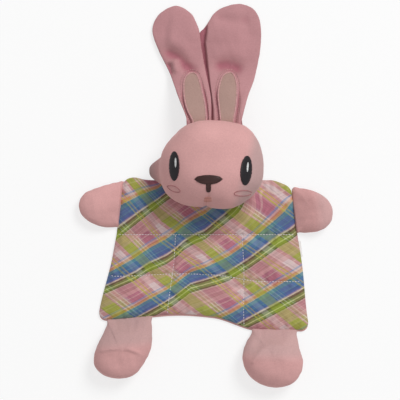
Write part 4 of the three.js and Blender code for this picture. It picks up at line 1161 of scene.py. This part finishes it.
def make_ear(side, sizes, colours):
    """One flat ear: a pocket of two velour cloths, an inner patch sewn on with satin stitch, and a second line of
    small stitches round it. Its cloth slopes from the head's seam down to the floor."""
    shape = EAR_SHAPES[side]
    body = f"ear_{side}"
    bend = ("head", *((shape["bend_x"] * MM, *place) for place in EAR_BEND))
    cloth_z = partial(ear_top, side, sizes)
    middle = np.array(shape["middle"])
    top = lambda x, y, share: cloth_z(x, y)
    rings, share = cushion_rings(smooth_loop(shape["outline"], 260), middle, top, partial(ear_under, side), 44)
    rings = draw_in_seam(rings, share, middle, ear_level(rings[..., 1]), 0.3, 0.08, 47)
    # Painted shade: the ears' velour is darkened as a whole, and the shade tint darkens their creases and the gully
    # further
    pink = velour("Ear velour in painted shade", colours.ear, shade_tint="#98425A")
    points, faces = closed_rings(rings)
    panels = f"{body}_front_panel", f"{body}_back_panel"
    ear = add_piece(f"{body}_cloth", (points, faces), pink, body, "ear_velour", *panels, bend=bend)
    # Painted shade in the ear's creases and gully
    mark(ear, "PaintedShade", ear_shade_share(side, points[:, 0], points[:, 1]))

    loop = smooth_loop(shape["patch"], 520)
    centre = loop.mean(0)
    raised = lambda x, y, share: cloth_z(x, y) + 0.15 + 0.75 * dome(share, 8)
    sunk = lambda x, y, share: cloth_z(x, y) - 0.35
    rings, _ = cushion_rings(loop[::3], centre, raised, sunk, 24)
    beige = velour("Beige cotton velour", colours.patch)
    patch = add_piece(f"{body}_patch", closed_rings(rings), beige, body, "patch_velour", f"{body}_inner_patch",
                      bend=bend)

    loop = smooth_loop(shape["patch"], 1100)
    satin = tube_along(loop, cloth_z(*loop.T) + SATIN_LIFT, SATIN_WIDTH, SATIN_TALL, sizes.satin_pitch)
    way = loop_way(loop)
    outer = loop + OUTER_GAP * stacked(way[:, 1], -way[:, 0]) * np.sign(np.cross(way[0], centre - loop[0]))
    path = stacked(*outer.T, cloth_z(*outer.T))
    edging = joined([satin, sewn(stitch_run(path, OUTER_PITCH, OUTER_WIDTH, sink=0.4))])
    thread = embroidery("Pink rayon thread", colours.edging, gloss=0.5)
    add_piece(f"{body}_edging", edging, thread, body, "pink_thread", f"{body}_satin_stitch", bend=bend)


# ---- neck
# The neck's y, half width, half thickness and height at its foot and at its top, in millimetres, and where it starts
# and ends to bend, as y and z in metres
NECK_FOOT, NECK_TOP = 45.5, 64.5
NECK_HALF, NECK_THICK, NECK_Z = (12.6, 10.8), (1.2, 3.2), (2.6, 7.4)
NECK_BEND = (0.0495, 0.003), (0.0560, 0.0035)


def make_neck(sizes, colours):
    """A short velour tube between the neckline and the underside of the head, gathered at both ends."""
    y = np.concatenate([[NECK_FOOT], np.linspace(NECK_FOOT, NECK_TOP, 26), [NECK_TOP]])[:, None]
    around = np.linspace(0, TURN, 72, endpoint=False)[None, :]
    t = (y - NECK_FOOT) / (NECK_TOP - NECK_FOOT)
    half = mix(*NECK_HALF, t) + 0.4 * np.sin(9 * around)
    thick = mix(*NECK_THICK, ease(t * 1.6)) + 0.2 * np.sin(9 * around)
    closing = np.ones_like(t)
    closing[[0, -1]] = 0
    x = NECK_X + closing * half * np.cos(around)
    z = mix(*NECK_Z, ease((t - 0.1) / 0.9)) + closing * thick * np.sin(around)
    bend = ("blanket", *((NECK_X * MM, *place) for place in NECK_BEND))
    rings = stacked(x, y, z)
    stub = add_piece("neck_stub", closed_rings(rings), pink_velour(colours), "neck", "pink_velour", "neck", bend=bend)


# ---- arms and legs
LIMB_PARTS = ("front_panel", "back_panel", "stuffing")
# Depths in front of and behind a limb's seam, the run over which it swells and the lip with which its front rises at
# its root, in millimetres
ARM = {"depth": (9.0, 7.6), "run": 24.0, "lip": 7.0}
LEG = {"depth": (16.0, 13.0), "run": 26.0, "lip": 1.6}
# Each limb's outline, middle, the root seam's two ends and its folds, in millimetres, and its shares of painted
# sheen and shade, greyer and darker, by the root and at the end
LIMBS = {
    "arm_right": {
        "outline": ((-75, 64), (-83, 64.2), (-92, 62), (-103, 58.3), (-112, 54), (-117, 46), (-116.5, 38),
                    (-112.5, 31.5), (-104.5, 26), (-94, 22.6), (-84, 22.6), (-76.5, 24), (-75, 44)),
        "middle": (-96.0, 43.5),
        "root": ((-77.5, 64), (-81.5, 23)),
        **ARM,
        "sheen_shade_share": (0.0, 0.0),
        "folds": ((-0.4, 3.0, ((-81, 50), (-92, 49))), (-0.4, 3.0, ((-83, 34), (-92, 36)))),
    },
    "arm_left": {
        "outline": ((78, 58.4), (86, 58.8), (95, 57.2), (104, 53.3), (111, 47.5), (114.6, 40), (114.6, 31),
                    (110.5, 24), (103, 19.4), (94, 17.7), (85, 17.6), (80, 18.4), (78, 38)),
        "middle": (96.5, 38.0),
        "root": ((77.2, 58.5), (82.2, 17.5)),
        **ARM,
        "sheen_shade_share": (0.0, 0.7),
        "folds": ((-0.4, 3.0, ((84, 47), (94, 45))), (-0.4, 3.0, ((88, 29), (97, 31)))),
    },
    "leg_right": {
        "outline": ((-91, -58), (-92, -66), (-95.5, -75), (-99.8, -84), (-103, -95), (-101.5, -104.5), (-94, -111.3),
                    (-84, -114.3), (-73, -113.8), (-64, -109.5), (-56.5, -99.5), (-51, -88), (-49.8, -77),
                    (-50.4, -64), (-51, -54.5), (-71, -56)),
        "middle": (-76.0, -89.0),
        "root": ((-51.0, -58.0), (-92.0, -62.0)),
        **LEG,
        "sheen_shade_share": (1.0, 0.0),
        "folds": (
            (-1.0, 4.0, ((-98, -78), (-88, -80.5), (-76, -80.5), (-64, -78), (-55, -72))),
            (1.5, 1.6, ((-95, -88), (-88, -86), (-78, -85), (-70, -86), (-62, -89.5), (-54, -95))),
            (-0.8, 2.2, ((-83, -64), (-81, -72))),
            (-0.8, 2.2, ((-66, -64), (-67, -73))),
        ),
    },
    "leg_left": {
        "outline": ((42, -66), (40.5, -74), (34.8, -84), (32, -95), (34.5, -106), (42, -115.5), (54, -121.5),
                    (67, -122.4), (79, -118), (86, -108), (87.2, -98), (84.6, -88), (82.8, -76), (82, -66),
                    (61, -64)),
        "middle": (60.0, -95.0),
        "root": ((82.0, -71.0), (41.0, -69.5)),
        **LEG,
        "sheen_shade_share": (1.0, 0.0),
        "folds": (
            (-1.0, 4.0, ((36, -90), (44, -85), (52, -79), (64, -76.5), (76, -80))),
            (1.5, 1.6, ((41, -98), (44, -93), (50, -87), (58, -83.5), (68, -84), (78, -90))),
            (-0.8, 2.2, ((50, -72), (50, -79))),
            (-0.8, 2.2, ((68, -72), (69, -81))),
        ),
    },
}


def from_root(limb, x, y):
    """Distance out from the limb's root seam, and the unit vector that points out from the blanket."""
    (ax, ay), (bx, by) = limb["root"]
    along = np.array([bx - ax, by - ay]) / np.hypot(bx - ax, by - ay)
    out = np.array([along[1], -along[0]])
    if np.dot(out, np.array(limb["middle"]) - (ax, ay)) < 0:
        out = -out
    return (x - ax) * out[0] + (y - ay) * out[1], out


def limb_heights(limb, x, y):
    """Height of the limb's seam at x, y, and how far its front and back stand off it: both swell outwards from the
    thin root that is sewn into the blanket's seam."""
    distance, _ = from_root(limb, x, y)
    way = np.clip(distance / limb["run"], 0, 1)
    full = way * (2 - way)
    front, back = limb["depth"]
    level = mix(1.7, back - 0.2, ease(distance / limb["run"]))
    lip = 0.9 + limb["lip"] * ease((distance + 0.7) / 1.4)
    return level, mix(lip, front, full), mix(0.9, back, full)


def make_limb(name, sizes, colours):
    """A stuffed limb: a cushion whose seam runs round its edge, creased where the photographed one is."""
    limb = LIMBS[name]
    middle = np.array(limb["middle"])
    outline = smooth_loop(limb["outline"], 150)
    # The simulation swells the front by about a tenth
    slack = 0.9

    def front(x, y, share):
        level, depth, _ = limb_heights(limb, x, y)
        return level + slack * depth * dome(share, 2.6)

    def back(x, y, share):
        level, _, depth = limb_heights(limb, x, y)
        return np.maximum(level - depth * dome(share, 2.6), 0.0)

    def held(points):
        x, y = points[:, 0], points[:, 1]
        return (share_out(x, y, outline, middle) > 0.95) | (from_root(limb, x, y)[0] < 5)

    rings, share = cushion_rings(outline, middle, front, back, 40)
    rings = swelled(rings, held)
    x, y = rings[..., 0], rings[..., 1]
    level, _, _ = limb_heights(limb, x, y)
    soft = 0.5 * rumple(rings[..., :2], 24.0, 51) + 0.16 * rumple(rings[..., :2], 9.0, 53)
    upper = dome(share, 2.6) * (rings[..., 2] > level)
    rings[..., 2] += (creased(x, y, limb["folds"]) + soft) * np.minimum(1.2 * upper, 1)
    rings[..., 2] = np.maximum(rings[..., 2], 0)
    rings = draw_in_seam(rings, share, middle, level, 0.7 * sizes.seam_dip, 0.14, 57)
    points, faces = closed_rings(rings)
    distance, out = from_root(limb, points[:, 0], points[:, 1])
    seam = np.mean(np.array(limb["root"]), axis=0)
    start, end = seam - 1.0 * out, seam + 7.0 * out
    bend = ("blanket", (*(start * MM).tolist(), 0.0016), (*(end * MM).tolist(), 0.003))
    nodes = [f"{name}_{part}" for part in LIMB_PARTS]
    cover = add_piece(f"{name}_cover", (points, faces), pink_velour(colours), name, "pink_velour", *nodes, bend=bend)
    # Painted sheen and shade: greyer, darker velour towards the root and towards the end, by the limb's two shares
    mark(cover, "PaintedSheenShade", mix(*limb["sheen_shade_share"], ease((distance - limb["run"] + 8) / 11)))


# ---- floor, light and camera
# Half the floor's width, in millimetres
FLOOR_HALF = 1600.0
# The share of what a camera ray sees of the floor that is pure white; the rest is the paper, which keeps the shadow
FLOOR_WHITE = 0.7
# The even light's strength on the toy, where a strength of 1 is the white of the background
DAYLIGHT = 0.44
# Each lamp's name, place and width in metres, and power in watts
LAMPS = (("Key softbox", (1.05, 1.35, 1.75), 1.1, 36.0), ("Fill softbox", (0.3, -0.9, 2.2), 1.4, 3.5))
LAMP_AIM = Vector((0, 0.05, 0))
# The camera's place and half the width that it sees at the floor, in metres
CAMERA_PLACE, HALF_VIEW = (-0.0064, 0.0478, 1.1), 0.184


def sees_background(node):
    """1 for the rays that show the background: the camera's own, and those that a shiny or clear piece sends on."""
    rays = node("LightPath").outputs
    sent = node("Math", {0: rays["Is Glossy Ray"], 1: rays["Is Transmission Ray"]}, operation="MAXIMUM")
    return node("Math", {0: rays["Is Camera Ray"], 1: sent}, operation="MAXIMUM")


def make_stage():
    """A plain pale floor, even light with one soft lamp above the ears' side, and a camera straight above."""
    corners = FLOOR_HALF * np.array([(-1, -1, 0), (1, -1, 0), (1, 1, 0), (-1, 1, 0)], float)
    floor, node = start_material("Matt white paper")
    place = node("TexCoord").outputs["Object"]
    fibre = node("TexNoise", {"Vector": place, "Scale": 1 / (3.0 * MM), "Detail": 2.0})
    tone = node("Mix", {0: fibre, 6: linear("#F8F8F8"), 7: linear("#FCFCFC")}, data_type="RGBA")
    paper = node("BsdfDiffuse", {"Color": tone, "Roughness": 1.0})
    white = node("Emission", {"Color": (1, 1, 1, 1), "Strength": 1.0})
    share = node("Math", {0: sees_background(node), 1: FLOOR_WHITE}, operation="MULTIPLY")
    node("OutputMaterial", {"Surface": node("MixShader", {0: share, 1: paper, 2: white})})
    make_mesh("floor", corners, [np.array([[0, 1, 2, 3]])], None, floor, outward=False)

    world = bpy.data.worlds.new("Even daylight")
    world.use_nodes = True
    world.node_tree.nodes.clear()
    node = partial(add_node, world.node_tree)
    strength = node("MapRange", {0: sees_background(node), 3: DAYLIGHT, 4: 1.0})
    node("OutputWorld", {"Surface": node("Background", {"Color": (1, 1, 1, 1), "Strength": strength})})
    bpy.context.scene.world = world

    for name, place, width, watts in LAMPS:
        lamp = bpy.data.lights.new(name, "AREA")
        lamp.energy, lamp.shape, lamp.size = watts, "DISK", width
        stand = add_to_scene(name, lamp, place)
        stand.rotation_euler = (LAMP_AIM - stand.location).to_track_quat("-Z", "Y").to_euler()

    eye = bpy.data.cameras.new("Photograph")
    eye.sensor_fit = "HORIZONTAL"
    eye.angle = 2 * np.arctan(HALF_VIEW / CAMERA_PLACE[2])
    bpy.context.scene.camera = add_to_scene("Photograph", eye, CAMERA_PLACE)
    bpy.context.scene.view_settings.view_transform = "Standard"


# ---- operators
def own_names(group):
    """The names of a property group's own properties."""
    return [name for name in group.bl_rna.properties.keys() if name not in {"rna_type", "name"}]


def sew(context, *makers):
    """Runs makers with the scene's sizes, in millimetres, and colours. A maker that leaves no new object stops the
    operator."""
    scene = context.scene
    lengths = scene.comforter_sizes
    sizes = SimpleNamespace(**{name: getattr(lengths, name) / MM for name in own_names(lengths)})
    for maker in makers:
        before = len(scene.objects)
        maker(sizes, scene.comforter_colours)
        if len(scene.objects) == before:
            raise RuntimeError(f"{maker} made nothing")
    return {"FINISHED"}


class COMFORTER_OT_blanket(bpy.types.Operator):
    """Quilt the plaid top over its velour lining and sew its lines in white thread"""

    bl_idname = "comforter.blanket"
    bl_label = "Sew Blanket"

    def execute(self, context):
        return sew(context, make_blanket, make_quilting)


class COMFORTER_OT_label(bpy.types.Operator):
    """Fold the blank tape label into the side seam"""

    bl_idname = "comforter.label"
    bl_label = "Add Label"

    def execute(self, context):
        return sew(context, make_label)


class COMFORTER_OT_head(bpy.types.Operator):
    """Make the stuffed head and the short neck that holds it to the blanket"""

    bl_idname = "comforter.head"
    bl_label = "Make Head and Neck"

    def execute(self, context):
        return sew(context, make_neck, make_head)


class COMFORTER_OT_face(bpy.types.Operator):
    """Embroider the eyes, nose, mouth and cheeks on the face"""

    bl_idname = "comforter.face"
    bl_label = "Embroider Face"

    def execute(self, context):
        return sew(context, make_eyes, make_nose_and_mouth, make_cheeks)


class COMFORTER_OT_ears(bpy.types.Operator):
    """Sew the two long flat ears with their inner patches"""

    bl_idname = "comforter.ears"
    bl_label = "Sew Ears"

    def execute(self, context):
        return sew(context, *(partial(make_ear, side) for side in EAR_SHAPES))


class COMFORTER_OT_limbs(bpy.types.Operator):
    """Stuff the arms and legs and sew them into the blanket's seams"""

    bl_idname = "comforter.limbs"
    bl_label = "Stuff Arms and Legs"

    def execute(self, context):
        return sew(context, *(partial(make_limb, name) for name in LIMBS))


class COMFORTER_OT_stage(bpy.types.Operator):
    """Lay the floor, hang the lamps and place the camera"""

    bl_idname = "comforter.stage"
    bl_label = "Set Stage"

    def execute(self, context):
        make_stage()
        if context.scene.camera is None:
            raise RuntimeError("The scene has no camera")
        return {"FINISHED"}


OPERATORS = (
    COMFORTER_OT_blanket,
    COMFORTER_OT_label,
    COMFORTER_OT_head,
    COMFORTER_OT_face,
    COMFORTER_OT_ears,
    COMFORTER_OT_limbs,
    COMFORTER_OT_stage,
)


class COMFORTER_PT_panel(bpy.types.Panel):
    """Lists the toy's sizes, colours and sewing steps"""

    bl_idname = "COMFORTER_PT_panel"
    bl_label = "Comfort Blanket"
    bl_space_type = "VIEW_3D"
    bl_region_type = "UI"
    bl_category = "Comfort Blanket"

    def draw(self, context):
        for group in (context.scene.comforter_sizes, context.scene.comforter_colours):
            column = self.layout.column(align=True)
            for name in own_names(group):
                column.prop(group, name)
        for operator in OPERATORS:
            self.layout.operator(operator.bl_idname)


def register():
    for kind in (ComforterSizes, ComforterColours, *OPERATORS, COMFORTER_PT_panel):
        bpy.utils.register_class(kind)
    bpy.types.Scene.comforter_sizes = PointerProperty(type=ComforterSizes)
    bpy.types.Scene.comforter_colours = PointerProperty(type=ComforterColours)


def unregister():
    del bpy.types.Scene.comforter_colours, bpy.types.Scene.comforter_sizes
    for kind in reversed((ComforterSizes, ComforterColours, *OPERATORS, COMFORTER_PT_panel)):
        bpy.utils.unregister_class(kind)


def main():
    """Sews the whole toy, one operator after another."""
    register()
    for step in ("blanket", "label", "head", "face", "ears", "limbs", "stage"):
        getattr(bpy.ops.comforter, step)()


if __name__ == "__main__":
    main()
